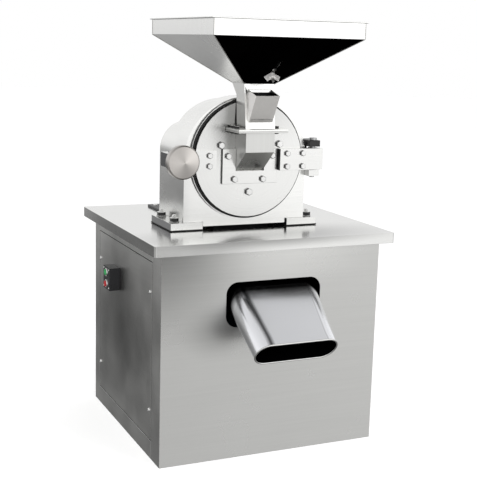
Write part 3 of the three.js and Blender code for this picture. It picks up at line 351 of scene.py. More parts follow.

# Each look is the slot it fills and its material.
# The stainless looks differ in finish, and their tints also differ to paint in the light and shade that each
# part shows.
LOOKS = {
    "panel": (BRUSHED, brushed("front_sheet", shade(STEEL, 0.9), 0.3, LEVEL, 0.03, 0.04, PANEL_SHADE_SPOTS)),
    "side": (BRUSHED, brushed("side_sheet", shade(STEEL, 1.35), 0.34, LEVEL, 0.03, 0.05, SIDE_SHADE_SPOTS)),
    "table": (
        POLISHED,
        brushed("table_sheet", shade(BRIGHT, 0.95), 0.17, (4, 170, 4), 0.02, 0.03, TABLE_SHADE_SPOTS, 5.0, 0.03),
    ),
    "sheet": (BRUSHED, brushed("folded_sheet", shade(STEEL, 1.05), 0.3, UPRIGHT, 0.03, 0.05, BOX_SHADE_SPOTS)),
    "neck": (BRUSHED, brushed("neck_sheet", shade(STEEL, 1.5), 0.28, (200, 200, 6), 0.03, 0.05)),
    "polished": (POLISHED, brushed("polished_plate", BRIGHT, 0.24, FINE_LEVEL, 0.02, 0.04)),
    "housing": (
        POLISHED,
        brushed("housing_plate", shade(BRIGHT, 1.1), 0.24, FINE_LEVEL, 0.02, 0.04, BARREL_SHADE_SPOTS),
    ),
    "hopper": (
        POLISHED,
        brushed("hopper_sheet", shade(BRIGHT, 1.18), 0.24, SLOPING, 0.02, 0.04, SLOPE_SHADE_SPOTS),
    ),
    # Painted shade: dark copies of the steel for faces turned from the light.
    "edge": (POLISHED, brushed("shaded_edge", (0.03, 0.03, 0.03), 0.35, EVERY_WAY, 0.08, 0.2)),
    "shade": (POLISHED, brushed("shaded_side", (0.16, 0.16, 0.165), 0.3, FINE_LEVEL, 0.03, 0.15)),
    # Painted shade inside the hopper's neck and the gate cover's channel.
    "mouth": (BRUSHED, brushed("neck_inside_shade", (0.014, 0.014, 0.015), 0.45, EVERY_WAY, 0.1, 0.3)),
    # The pocket's front and sides are one matt sheet, painted darker on the front, which faces down, and
    # lighter on the sides.
    "satin": (BRUSHED, satin("pocket_front", (0.46, 0.45, 0.435))),
    "satin_side": (BRUSHED, satin("pocket_side", (0.72, 0.705, 0.69))),
    "bed": (BRUSHED, brushed("bed_sheet", (0.06, 0.06, 0.062), 0.4, UPRIGHT, 0.03, 0.1)),
    # Painted shade on the hinge bracket's upper half.
    "bracket": (POLISHED, brushed("hinge_ear_shade", (0.05, 0.05, 0.05), 0.35, FINE_LEVEL, 0.03, 0.2)),
    "spout": (POLISHED, spout_metal("spout_sheet", (0.93, 0.94, 0.97))),
    # Painted shade: the duct in the cabinet, nearly black.
    "duct": (BRUSHED, brushed("duct_sheet_shade", (0.01, 0.01, 0.011), 0.5, UPRIGHT, 0.03, 0.1)),
    # Painted shade on the sides of bolt heads and nuts.
    "bolt_side_shade": (MACHINED, brushed("bolt_side_shade", (0.05, 0.05, 0.05), 0.35, FINE_EVERY_WAY, 0.08, 0.2)),
    # Painted reflection: the hopper's front underside, nearly black.
    "under": (POLISHED, brushed("hopper_underside_reflection", (0.007, 0.006, 0.006), 0.36, (200, 9, 9), 0.02, 0.3)),
    "door": (
        POLISHED,
        turned("door_plate", BRIGHT, 0.24, disc_centre, 260.0, 0.03, 0.03, shade_spots=DOOR_SHADE_SPOTS),
    ),
    # Painted highlight: the knob's face has light and dark wedges for its sheen.
    "knob": (
        POLISHED,
        turned("knob_turned", (0.53, 0.505, 0.48), 0.3, knob_centre, 1300.0, 0.25, 0.07, 0.6, 0.24),
    ),
    "rotor": (MACHINED, turned("rotor_turned", (0.5, 0.5, 0.51), 0.3, disc_centre, 800.0, 0.25, 0.1)),
    "steel": (MACHINED, brushed("machined_plate", (0.52, 0.525, 0.53), 0.32, (300, 8, 300), 0.15, 0.1)),
    "bolt": (
        MACHINED,
        brushed("bolt_steel", (0.8, 0.8, 0.79), 0.25, FINE_EVERY_WAY, 0.08, 0.08, smudge=60.0),
    ),
    "weld": (BRUSHED, brushed("weld_bead", (0.5, 0.49, 0.47), 0.34, (200, 200, 200), 0.3, 0.2, smudge=90.0)),
    "cast": ("cast_iron", cast("cast_grey", (0.22, 0.225, 0.23), 0.55)),
    "paint": ("motor_paint", moulded("motor_blue", (0.05, 0.1, 0.15), 0.4, 320.0, 0.25, 0.3)),
    "bearing": (
        "bearing_steel",
        turned("bearing_ground", (0.75, 0.75, 0.76), 0.16, disc_centre, 1500.0, 0.1),
    ),
    "rubber": ("black_rubber", moulded("belt_rubber", (0.012, 0.012, 0.012), 0.75, 500.0, 0.4)),
    "plastic": ("black_plastic", moulded("switch_black", (0.012, 0.012, 0.014), 0.42, 900.0, 0.2)),
    "green": ("green_plastic", moulded("start_green", (0.02, 0.3, 0.08), 0.32, 900.0, 0.05, 0.3)),
    "red": ("red_plastic", moulded("stop_red", (0.42, 0.012, 0.016), 0.32, 900.0, 0.05, 0.3)),
    "screen": (BRUSHED, perforated("screen_plate", STEEL, 0.35, 0.004)),
    # Painted shade inside the spout.
    "dark": (POLISHED, brushed("spout_inside_shade", (0.016, 0.016, 0.017), 0.4, EVERY_WAY, 0.1, 0.3)),
}

# The hopper's front underside is painted nearly black for a dark reflection, and stays black seen from a low
# angle too.
UNDER_SHINE = 0.25
under_shader = LOOKS["under"][1].node_tree.nodes["Principled BSDF"]
under_shader.inputs["Specular Tint"].default_value = (UNDER_SHINE, UNDER_SHINE, UNDER_SHINE, 1)

# ---------------------------------------------------------------- mesh helpers

WELD_WITHIN = 0.00002                   # CAD corners this close are one corner
FLAT_WITHIN = math.radians(0.4)         # CAD faces this close to flat become one face
BEVEL_FROM = math.radians(30)
RIPPLE_EVERY = 3                        # a weld bead swells at every third point


def forget_normals(mesh):
    """Drops the corner normals that came with a CAD mesh, so that new ones fit the new faces."""
    if "custom_normal" in mesh.attributes:
        mesh.attributes.remove(mesh.attributes["custom_normal"])


def soften(obj, width):
    """Rounds the sharp edges by width metres."""
    mod = obj.modifiers.new("edges", "BEVEL")
    mod.width = width
    mod.segments = 2
    mod.limit_method = "ANGLE"
    mod.angle_limit = BEVEL_FROM
    mod.harden_normals = True
    mod.use_clamp_overlap = True


def piece(name, bm, look, body, sharp, extra=(), bevel=0.0):
    """A finished mesh piece of that look, riding on that body. extra looks are its further materials.

    Edges over sharp degrees stay sharp; 0 leaves every edge smooth.
    """
    bmesh.ops.recalc_face_normals(bm, faces=bm.faces)
    mesh = bpy.data.meshes.new(name)
    bm.to_mesh(mesh)
    bm.free()
    for key in (look, *extra):
        mesh.materials.append(LOOKS[key][1])
    forget_normals(mesh)
    mesh.shade_smooth()
    if sharp:
        mesh.set_sharp_from_angle(angle=math.radians(sharp))
    made = bpy.data.objects.new(name, mesh)
    bpy.context.scene.collection.objects.link(made)
    if bevel:
        soften(made, bevel)
    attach(made, body)
    return made


def aim(at, direction):
    """A matrix that puts local +Z along direction at a point."""
    turn = Vector(direction).to_track_quat("Z", "Y").to_matrix().to_4x4()
    return Matrix.Translation(at) @ turn


def circle(radius, height, sides, turn=0.0):
    """Points on a circle round +Z."""
    angles = [turn + 2 * math.pi * i / sides for i in range(sides)]
    return [Vector((radius * math.cos(a), radius * math.sin(a), height)) for a in angles]


def corners(bm, points, matrix=Matrix()):
    return [bm.verts.new(matrix @ point) for point in points]


def bridge(bm, near, far, look=0):
    """Faces between two closed rings of as many corners."""
    for i in range(len(near)):
        j = (i + 1) % len(near)
        bm.faces.new((near[i], near[j], far[j], far[i])).material_index = look


def lathe(bm, profile, matrix, sides=32, turn=0.0):
    """A round or many-sided solid from a profile of (radius, height), closed at both ends."""
    rings = []
    for radius, height in profile:
        points = circle(radius, height, sides, turn) if radius else [Vector((0, 0, height))]
        rings.append(corners(bm, points, matrix))
    for below, above in zip(rings, rings[1:]):
        if len(below) == len(above):
            bridge(bm, below, above)
            continue
        for i in range(sides):
            j = (i + 1) % sides
            if len(below) == 1:
                bm.faces.new((below[0], above[j], above[i]))
            else:
                bm.faces.new((below[i], below[j], above[0]))


def tube(bm, points, radius, sides=8, closed=False, ripple=0.0):
    """A round rod along points, whose radius swells by ripple every few points, as a weld bead does."""
    count = len(points)
    rings = []
    side = None
    for i, point in enumerate(points):
        before = points[i - 1] if closed or i else points[0]
        after = points[(i + 1) % count] if closed or i < count - 1 else points[-1]
        along = (after - before).normalized()
        if side is None:
            side = along.orthogonal().normalized()
        side = (side - along * side.dot(along)).normalized()
        up = along.cross(side)
        r = radius * (1 + ripple * math.cos(2 * math.pi * i / RIPPLE_EVERY))
        angles = [2 * math.pi * k / sides for k in range(sides)]
        rings.append(corners(bm, [point + (side * math.cos(a) + up * math.sin(a)) * r for a in angles]))
    if not closed:
        bm.faces.new(rings[0])
        bm.faces.new(rings[-1])
    for near, far in zip(rings, rings[1:]):
        bridge(bm, near, far)
    if closed:
        bridge(bm, rings[-1], rings[0])


def between(a, b, step):
    """Evenly spaced points from a to b."""
    count = max(2, round((b - a).length / step) + 1)
    return [a.lerp(b, i / (count - 1)) for i in range(count)]


def arc(centre, u, v, radius, start, end, count):
    """Points on a circle in the plane of u and v, between two angles in degrees."""
    angles = [math.radians(start + (end - start) * i / (count - 1)) for i in range(count)]
    return [centre + (u * math.cos(a) + v * math.sin(a)) * radius for a in angles]


# ---------------------------------------------------------------- fasteners

# All are shares of the thread size. A head's or nut's radius is over its corners.
HEAD_RADIUS, HEAD_HEIGHT, HEAD_CUT = 0.94, 0.84, 0.11
NUT_RADIUS, NUT_HEIGHT, NUT_CUT = 0.96, 0.82, 0.12
HEAD_WASHER_RADIUS, HEAD_WASHER_HEIGHT = 1.05, 0.17
NUT_WASHER_RADIUS, NUT_WASHER_HEIGHT = 1.1, 0.2
THREAD_ROOT, THREAD_CREST, THREAD_PITCH = 0.44, 0.5, 0.15
STUD_REACH = 0.6
HEAD_ROUNDING = 0.03
HEX_TURN = math.pi / 6


def hex_shell(bm, matrix, radius, height, cut, start=0.0):
    """A six-sided head with its corners cut back at the free end."""
    end = start + height
    profile = [(0, start), (radius, start), (radius, end - cut), (radius - cut * 1.6, end), (0, end)]
    lathe(bm, profile, matrix, 6, HEX_TURN)


def washer_shell(bm, matrix, radius, height):
    edge = height * 0.25
    inner = radius - edge
    profile = [(0, 0), (inner, 0), (radius, edge), (radius, height - edge), (inner, height), (0, height)]
    lathe(bm, profile, matrix)


def darken_sides(bm, axis):
    """Painted shade: the faces round an axis get the piece's second, dark look."""
    bm.normal_update()
    for face in bm.faces:
        if abs(face.normal.dot(axis)) < 0.3:
            face.material_index = 1


def hex_bolt(name, at, direction, size, body, washer):
    """A hexagon bolt head of that thread size, in millimetres, seated at a point."""
    bm = bmesh.new()
    matrix = aim(at, direction)
    seat = 0.0
    if washer:
        seat = HEAD_WASHER_HEIGHT * size * MM
        washer_shell(bm, matrix, HEAD_WASHER_RADIUS * size * MM, seat)
    hex_shell(bm, matrix, HEAD_RADIUS * size * MM, HEAD_HEIGHT * size * MM, HEAD_CUT * size * MM, seat)
    darken_sides(bm, direction)
    piece(name, bm, "bolt", body, sharp=25, extra=("bolt_side_shade",), bevel=HEAD_ROUNDING * size * MM)


def stud_nut(name, at, direction, size, body):
    """A nut on a washer, with the threaded end of its stud standing proud."""
    bm = bmesh.new()
    matrix = aim(at, direction)
    washer_t, nut_t = NUT_WASHER_HEIGHT * size * MM, NUT_HEIGHT * size * MM
    washer_shell(bm, matrix, NUT_WASHER_RADIUS * size * MM, washer_t)
    hex_shell(bm, matrix, NUT_RADIUS * size * MM, nut_t, NUT_CUT * size * MM, washer_t)
    darken_sides(bm, direction)
    root, crest = THREAD_ROOT * size * MM, THREAD_CREST * size * MM
    pitch = THREAD_PITCH * size * MM
    height = washer_t + nut_t
    end = height + STUD_REACH * size * MM
    profile = [(0, height)]
    while height < end - pitch:
        profile += [(root, height), (crest, height + pitch / 2)]
        height += pitch
    profile += [(root, height), (root * 0.8, end), (0, end)]
    lathe(bm, profile, matrix, 24)
    piece(name, bm, "bolt", body, sharp=25, extra=("bolt_side_shade",))


def button_screw(name, at, direction, radius, body):
    """A low domed screw with a round socket; radius is in millimetres."""
    r = radius * MM
    dome = [(0, 0), (r, 0), (r, 0.12 * r), (0.92 * r, 0.32 * r), (0.72 * r, 0.5 * r), (0.46 * r, 0.58 * r)]
    socket = [(0.42 * r, 0.55 * r), (0.4 * r, 0.25 * r), (0, 0.2 * r)]
    bm = bmesh.new()
    lathe(bm, dome + socket, aim(at, direction), 24)
    piece(name, bm, "bolt", body, sharp=50)


def bolts(prefix, places, direction, size, body, washer=False):
    """A numbered row of hexagon bolts."""
    for i, place in enumerate(places):
        hex_bolt(f"{prefix}_{i + 1}", place, direction, size, body, washer)


def screws(prefix, places, direction, radius, body):
    """A numbered row of domed screws."""
    for i, place in enumerate(places):
        button_screw(f"{prefix}_{i + 1}", place, direction, radius, body)


# ---------------------------------------------------------------- the CAD nodes' own looks

TURNED_PARTS = ["stator_disc", "clamp_collar", "motor_shaft"]
HAMMERS = [f"hammer_{i}" for i in range(1, 5)]
HAMMER_PINS = [f"hammer_pin_{i}" for i in range(1, 5)]
# Each look's edge rounding in millimetres and the nodes that have it.
NODE_LOOKS = {
    "panel": (0.5, ["rear_panel"]),
    "side": (0.5, ["left_side_panel", "right_side_panel", "cabinet_frame", "base_tray"]),
    "table": (0.7, ["table_top"]),
    "sheet": (0.4, ["belt_guard", "feed_gate", "inlet_box"]),
    "bed": (0.5, ["mill_bed_plate"]),
    "duct": (0.3, ["discharge_duct"]),
    "door": (0.9, ["door_disc"]),
    "knob": (0.8, ["clamp_knob"]),
    "screen": (0.2, ["screen_ring"]),
    "rotor": (0.6, ["rotor_shaft", "rotor_front_plate", "rotor_rear_plate", *TURNED_PARTS]),
    "steel": (0.6, ["motor_bed", "rotor_nut", "clamp_screw", "hinge_pin", *HAMMERS]),
    "cast": (1.5, ["bearing_pedestal", "mill_pulley", "motor_pulley"]),
    "bearing": (0.5, ["front_bearing", "rear_bearing", *HAMMER_PINS]),
    "paint": (1.0, ["motor_body", "motor_fan_cover", "motor_terminal_box"]),
    "satin_side": (0.7, ["gate_wing_nut"]),
    "rubber": (0.5, ["drive_belt_1", "drive_belt_2", "door_seal"]),
    "plastic": (1.0, ["switch_box", "cable_gland"]),
    "green": (0.8, ["start_button"]),
    "red": (0.8, ["stop_button"]),
}


def dress(node, key, edge):
    """Gives a CAD node its material, welded faces and softened edges, without touching its shape."""
    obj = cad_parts[node]
    mesh = obj.data
    mesh.materials.clear()
    mesh.materials.append(LOOKS[key][1])
    forget_normals(mesh)
    mesh.shade_smooth()
    weld = obj.modifiers.new("weld", "WELD")
    weld.merge_threshold = WELD_WITHIN
    flat = obj.modifiers.new("flat", "DECIMATE")
    flat.decimate_type = "DISSOLVE"
    flat.angle_limit = FLAT_WITHIN
    soften(obj, edge * MM)


for look_key, (edge_mm, nodes) in NODE_LOOKS.items():
    for node_name in nodes:
        dress(node_name, look_key, edge_mm)

# ---------------------------------------------------------------- nodes that show several looks


def node_shape(node):
    """A new mesh of the node's own shape, placed as it stands at rest."""
    bm = bmesh.new()
    bm.from_mesh(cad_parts[node].data)
    bm.transform(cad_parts[node].matrix_world)
    return bm


def reskin(node, body, looks, edge, choose, cuts=()):
    """The node's own shape as a new piece, cut by some planes: choose(centre, normal) gives a face's look."""
    bm = node_shape(node)
    bmesh.ops.remove_doubles(bm, verts=bm.verts, dist=WELD_WITHIN)
    for point, normal in cuts:
        everything = bm.verts[:] + bm.edges[:] + bm.faces[:]
        bmesh.ops.bisect_plane(bm, geom=everything, plane_co=point, plane_no=normal)
    bm.normal_update()
    for face in bm.faces:
        face.material_index = choose(face.calc_center_median(), face.normal)
    options = {"angle_limit": FLAT_WITHIN, "delimit": {"MATERIAL"}}
    bmesh.ops.dissolve_limit(bm, verts=bm.verts, edges=bm.edges, **options)
    made = piece(f"{node}_skin", bm, looks[0], body, sharp=0, extra=looks[1:], bevel=edge * MM)
    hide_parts(node)


neck_bm = node_shape("hopper_neck")
neck_tree = BVHTree.FromBMesh(neck_bm)
neck_bm.free()
neck_front = mill(0, -212, 0).y
pocket_top = mill(0, 0, 171)
POCKET_HALF = 32                # half the hand-feed pocket's width, in millimetres
RAY_START = 0.0001              # clear of the face that a ray starts from
RAY_REACH = 0.12


def neck_look(centre, normal):
    """0 sheet, 1 inside in painted shade, 2 the pocket's matt front, painted darker as it faces down, 3 its
    matt sides.
    """
    if neck_tree.ray_cast(centre + normal * RAY_START, normal, RAY_REACH)[0] is not None:
        return 0 if centre.z > pocket_top.z and normal.y < -0.7 else 1
    if normal.y < -0.3 and normal.z < -0.2:
        return 2
    beside = abs(centre.x - AXIS.x) < (POCKET_HALF + 2) * MM
    return 3 if abs(normal.x) > 0.9 and beside and centre.y < neck_front else 0


drum_front = mill(0, -132, 0).y


def land_side(centre, normal):
    """The rim of the raised ring that the door shuts on, which is painted in shade."""
    return int(centre.y < drum_front - 0.5 * MM and abs(normal.y) < 0.3)


# Painted shade: faces turned to the left take the piece's dark look.
def left_side(_, normal):
    return int(normal.x < -0.8)


def front_underside(_, normal):
    return int(normal.z < -0.7 and normal.y < -0.4)


# Painted reflection: the hopper's front underside takes the nearly black look.
reskin("hopper", "door", ["hopper", "under"], 0.4, front_underside)
neck_cuts = [(pocket_top, UP), (mill(-POCKET_HALF, 0, 0), LEFT), (mill(POCKET_HALF, 0, 0), RIGHT)]
reskin("hopper_neck", "door", ["neck", "mouth", "satin", "satin_side"], 0.5, neck_look, neck_cuts)
reskin("mill_housing", "root", ["housing", "edge"], 0.9, land_side)
# Painted shade on the left faces of the foot bars and the clamp lug.
for bar in ("left_foot_bar", "right_foot_bar", "clamp_lug"):
    reskin(bar, "root", ["polished", "shade"], 0.9, left_side)
# The front panel's side returns take the side sheets' look, with its tint and painted shade.
reskin("front_panel", "root", ["panel", "side"], 0.5, lambda centre, normal: int(abs(normal.x) > 0.9))
# Painted shade on the upper half of the hinge bracket.
reskin("hinge_bracket", "root", ["polished", "bracket"], 0.9, lambda centre, normal: int(centre.z > AXIS.z))
# Painted shade on the left edges of the door's straps.
for strap in ("hinge_strap", "inlet_plate", "clamp_strap"):
    reskin(strap, "door", ["polished", "edge"], 0.7, left_side)

# ---------------------------------------------------------------- covers and seals

SLOPE_RISE, SLOPE_RUN = 113.7, 169      # the hopper's front slope, from its foot to its knee
SLOPE_FOOT = mill(0, -197, 191.6)


def gate_cover():
    """A shallow channel inside the hopper: the gate slides under it, and it shuts off the stud's slot. Its
    inside is in painted shade.
    """
    half, top, bottom = 0.041, -0.118, -0.05
    foot, crown, t = 0.0022, 0.0056, 0.001
    place = Matrix.Translation(SLOPE_FOOT) @ Matrix.Rotation(-math.atan2(SLOPE_RISE, SLOPE_RUN), 4, "X")
    outside = [(-half, foot), (-half, crown + t), (half, crown + t), (half, foot)]
    inside = [(half - t, foot), (half - t, crown), (t - half, crown), (t - half, foot)]
    outline = outside + inside
    bm = bmesh.new()
    ends = [corners(bm, [Vector((x, y, z)) for x, z in outline], place) for y in (top, bottom)]
    bm.faces.new(ends[0])
    bm.faces.new(ends[1])
    for i in range(len(outline)):
        j = (i + 1) % len(outline)
        face = bm.faces.new((ends[0][i], ends[0][j], ends[1][j], ends[1][i]))
        face.material_index = int(i >= len(outside))
    piece("gate_cover", bm, "hopper", "door", sharp=20, extra=("mouth",), bevel=0.0002)


def vent_filter():
    """A pleated filter mat behind the rear louvres, so that daylight doesn't show through the cabinet."""
    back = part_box("rear_panel")[1].y - 0.0035
    deep, pleats, thick = 0.006, 60, 0.001
    half, bottom, top = 0.2, 0.15, 0.36
    bm = bmesh.new()
    strips = []
    for shift in (0, -thick):
        row = []
        for i in range(pleats + 1):
            x = -half + 2 * half * i / pleats
            y = back + shift - deep * (i % 2)
            row.append(corners(bm, [Vector((x, y, z)) for z in (bottom, top)]))
        strips.append(row)
    near, far = strips
    for row in strips:
        for a, b in zip(row, row[1:]):
            bm.faces.new((a[0], b[0], b[1], a[1]))
    for k in (0, 1):
        for i in range(pleats):
            bm.faces.new((near[i][k], near[i + 1][k], far[i + 1][k], far[i][k]))
    for i in (0, pleats):
        bm.faces.new((near[i][0], near[i][1], far[i][1], far[i][0]))
    piece("vent_filter", bm, "plastic", "root", sharp=20)


def door_gasket():
    """The rubber bead that shows as a dark ring round the door's edge."""
    disc_low, disc_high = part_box("door_disc")
    bead, gap = 0.0026, 0.0003
    radius = (disc_high.x - disc_low.x) / 2 + bead + gap
    middle = Vector((AXIS.x, disc_high.y - bead + gap, AXIS.z))
    bm = bmesh.new()
    tube(bm, arc(middle, RIGHT, UP, radius, 0, 357.5, 144), bead, 10, closed=True)
    piece("door_gasket", bm, "rubber", "door", sharp=60)


def panel_gap_shades():
    """Painted shade: a narrow black rubber bead fills the gap round each side panel, so that the gap shows
    dark.
    """
    groove, r = 0.00125, 0.0011
    low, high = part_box("left_side_panel")
    y0, y1, z0, z1 = low.y - groove, high.y + groove, low.z - groove, high.z + groove
    for side, x in (("left", low.x + r), ("right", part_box("right_side_panel")[1].x - r)):
        bm = bmesh.new()
        path = [Vector((x, y, z)) for y, z in ((y0, z0), (y1, z0), (y1, z1), (y0, z1))]
        tube(bm, path, r, closed=True)
        piece(f"{side}_panel_gap_bead", bm, "rubber", "root", sharp=60)


def foot_contact_shades():
    """Painted shade: a thin black rubber bead round the foot of each foot bar, for the shade where the bar
    meets the table.
    """
    r = 0.0016
    for node in ("left_foot_bar", "right_foot_bar"):
        low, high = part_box(node)
        outline = ((low.x, low.y), (high.x, low.y), (high.x, high.y), (low.x, high.y))
        bm = bmesh.new()
        tube(bm, [Vector((x, y, low.z + r)) for x, y in outline], r, closed=True)
        piece(f"{node}_seal", bm, "rubber", "root", sharp=60)


gate_cover()
vent_filter()
door_gasket()
panel_gap_shades()
foot_contact_shades()

# ---------------------------------------------------------------- discharge spout

SPOUT_SLOPE = math.radians(35)


def spout_ring(y, inset, steps=18):
    """A flat oval across the chute at y, drawn in by inset."""
    up = Vector((0, -math.sin(SPOUT_SLOPE), math.cos(SPOUT_SLOPE)))
    share = min(1, (y - SPOUT["mouth_y"]) / (panel_front - SPOUT["mouth_y"]))
    width = SPOUT["mouth_w"] + share * (SPOUT["panel_w"] - SPOUT["mouth_w"]) - 2 * inset
    r = SPOUT["height"] / 2 - inset
    z = SPOUT["mouth_z"] + (y - SPOUT["mouth_y"]) * math.tan(SPOUT_SLOPE)
    points = []
    for side in (1, -1):
        for i in range(steps + 1):
            angle = math.pi * i / steps - math.pi / 2
            across = side * (width / 2 - r + r * math.cos(angle))
            points.append(Vector((across, y, z)) + up * (side * r * math.sin(angle)))
    return points


def chute_spout():
    """The oval spout: a polished sheet tube with its inside in painted shade, and a rolled lip."""
    stations = [SPOUT["mouth_y"], -0.365, -0.32, panel_front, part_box("discharge_spout")[1].y]
    bm = bmesh.new()
    outer = [corners(bm, spout_ring(y, 0)) for y in stations]
    inner = [corners(bm, spout_ring(y, SPOUT["wall"])) for y in stations]
    for shell, look in ((outer, 0), (inner, 1)):
        for near, far in zip(shell, shell[1:]):
            bridge(bm, near, far, look)
    bridge(bm, outer[0], inner[0])
    bridge(bm, outer[-1], inner[-1], 1)
    made = piece("spout_tube", bm, "spout", "root", sharp=40, extra=("dark",))
    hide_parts("discharge_spout")
    lip = bmesh.new()
    tube(lip, spout_ring(SPOUT["mouth_y"] + 0.001, 0.0008), 0.0022, 10, closed=True)
    piece("spout_lip", lip, "polished", "root", sharp=60)


chute_spout()

# ---------------------------------------------------------------- hopper seams and hem

hopper_low, hopper_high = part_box("hopper")
RIM_HEIGHT = 0.04
LIP = 0.006
FOOT_HALF = 0.041
FOOT_Y = (-0.197, -0.124)
BEAD_STEP = 0.0016


def hopper_corners():
    """Foot, knee and rim corner of each of the four corners of the hopper."""
    rim_x = [hopper_low.x + LIP, hopper_high.x - LIP]
    rim_y = [hopper_low.y + LIP, hopper_high.y - LIP]
    for sx, sy in ((0, 0), (1, 0), (1, 1), (0, 1)):
        foot = Vector((AXIS.x + (-FOOT_HALF, FOOT_HALF)[sx], FOOT_Y[sy], hopper_low.z))
        knee = Vector((rim_x[sx], rim_y[sy], hopper_high.z - RIM_HEIGHT))
        top = Vector((rim_x[sx], rim_y[sy], hopper_high.z - 0.002))
        yield foot, knee, top


def weld_seam(name, start, end, radius, ripple):
    bm = bmesh.new()
    tube(bm, between(start, end, BEAD_STEP), radius, ripple=ripple)
    piece(name, bm, "weld", "door", sharp=80)


def hopper_seams():
    """Weld beads up the hopper's four corners, in two lengths each."""
    for i, (foot, knee, top) in enumerate(hopper_corners()):
        weld_seam(f"hopper_seam_{i + 1}", foot, knee, 0.0011, 0.18)
        weld_seam(f"rim_seam_{i + 1}", knee, top, 0.0009, 0.15)


def hopper_hem():
    """The rolled edge round the top of the rim."""
    r, corner = 0.0018, 0.004
    x0, x1 = hopper_low.x + r + corner, hopper_high.x - r - corner
    y0, y1 = hopper_low.y + r + corner, hopper_high.y - r - corner
    z = hopper_high.z - r * 0.7
    loop = []
    for i, (x, y) in enumerate(((x1, y1), (x0, y1), (x0, y0), (x1, y0))):
        loop += arc(Vector((x, y, z)), RIGHT, BACK, corner, 90 * i, 90 * i + 90, 6)
    bm = bmesh.new()
    tube(bm, loop, r, 10, closed=True)
    piece("hopper_hem", bm, "hopper", "door", sharp=60)


hopper_seams()
hopper_hem()

# ---------------------------------------------------------------- fasteners by place

# Places in millimetres. Those on the door are from the rotor's axis across and up.
STATOR_SPOTS = ((-79, 36), (83, 37), (0, -84))
INLET_SPOTS = ((-61, 9), (61, 9), (-43, -50), (36, -51))
CLAMP_SPOTS = ((-114, 11.6), (-114, -14.7))
HINGE_SPOTS = [(x, z) for x in (97.5, 142) for z in (14.5, -19)]
FLANGE_SPOTS = [(x, y) for x in (-54, 54) for y in (-190, -164)]
FOOT_SPOTS = [(x, y) for x in (-188, 188) for y in (-115, -20)]
PEDESTAL_SPOTS = [(x, y) for x in (-60, 60) for y in (72, 115)]
BED_SPOTS = [(x, y) for x in (-112, 112) for y in (70, 242)]
SIDE_SPOTS = [(y, z) for y in (-198, 222) for z in (125, 429)]
REAR_SPOTS = [(x, z) for x in (-284, 0, 284) for z in (22, 200, 376, 545) if x or z in (22, 545)]
FLANGE = 0.0042                 # thickness of the hopper neck's flange and of the inlet box's
PEDESTAL_FOOT = 0.014


def on_door(node, spots):
    """Points on the front face of a node."""
    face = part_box(node)[0].y / MM
    return [mill(x, face, z) for x, z in spots]


def on_level(z, spots):
    """Points at height z, from the rotor's axis in x and the cabinet's middle in y."""
    return [Vector((AXIS.x + x * MM, y * MM, z)) for x, y in spots]


bolts("stator_bolt", on_door("door_disc", STATOR_SPOTS), FRONT, 10, "door")
bolts("inlet_bolt", on_door("inlet_plate", INLET_SPOTS), FRONT, 9, "door")
bolts("clamp_bolt", on_door("clamp_strap", CLAMP_SPOTS), FRONT, 8, "door")
bolts("hinge_bolt", on_door("hinge_strap", HINGE_SPOTS), FRONT, 8, "door")
bolts("flange_bolt", on_level(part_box("hopper_neck")[0].z + FLANGE, FLANGE_SPOTS), UP, 7, "door")
bolts("flange_nut", on_level(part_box("inlet_box")[1].z - FLANGE, FLANGE_SPOTS), DOWN, 7, "door")
for i, place in enumerate(on_level(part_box("left_foot_bar")[1].z, FOOT_SPOTS)):
    stud_nut(f"foot_stud_{i + 1}", place, UP, 12, "root")

cab_low, cab_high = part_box("front_panel")
for side_name, x, direction in (("left", cab_low.x, LEFT), ("right", cab_high.x, RIGHT)):
    places = [Vector((x, y * MM, z * MM)) for y, z in SIDE_SPOTS]
    screws(f"{side_name}_panel_screw", places, direction, 5.0, "root")
rear_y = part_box("rear_panel")[1].y
screws("rear_panel_screw", [Vector((x * MM, rear_y, z * MM)) for x, z in REAR_SPOTS], BACK, 5.0, "root")

pedestal_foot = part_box("bearing_pedestal")[0].z + PEDESTAL_FOOT
bolts("pedestal_bolt", on_level(pedestal_foot, PEDESTAL_SPOTS), UP, 10, "root", washer=True)
guard_low, guard_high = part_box("belt_guard")
places = [Vector((AXIS.x + x * MM, guard_high.y, guard_low.z + z * MM)) for x in (-58, 58) for z in (18, 150)]
screws("guard_screw", places, BACK, 4.5, "root")
screws("bed_screw", on_level(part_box("mill_bed_plate")[1].z, BED_SPOTS), UP, 6.0, "root")


def grease_nipple():
    """Stands on the bearing pedestal; its profile is in millimetres."""
    seat = mill(0, 93, 50) - UP * 0.001
    profile = [(0, 0), (5, 0), (5, 5), (3, 5.5), (2.6, 8), (3.2, 9.5), (3.2, 11), (1.6, 13), (0, 13)]
    bm = bmesh.new()
    lathe(bm, [(r * MM, h * MM) for r, h in profile], aim(seat, UP), 20)
    piece("grease_nipple", bm, "bolt", "root", sharp=40)


grease_nipple()

# ---------------------------------------------------------------- switch box

switch_low, switch_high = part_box("switch_box")
SCREW_INSET = 0.006


def button_collar(name, node):
    """A round bezel about a push button, on the switch box's face."""
    low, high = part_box(node)
    r = (high.y - low.y) / 2
    at = aim(Vector((switch_low.x, (low.y + high.y) / 2, (low.z + high.z) / 2)), LEFT)
    inner, outer, tall = r + 0.0006, r + 0.0032, 0.0028
    outside = [(inner, 0), (outer, 0), (outer, tall * 0.6), (outer - 0.0008, tall)]
    inside = [(inner + 0.0005, tall), (inner, tall * 0.8)]
    bm = bmesh.new()
    rings = [corners(bm, circle(radius, height, 40), at) for radius, height in outside + inside]
    for near, far in zip(rings, rings[1:] + rings[:1]):
        bridge(bm, near, far)
    piece(name, bm, "bolt", "root", sharp=40)


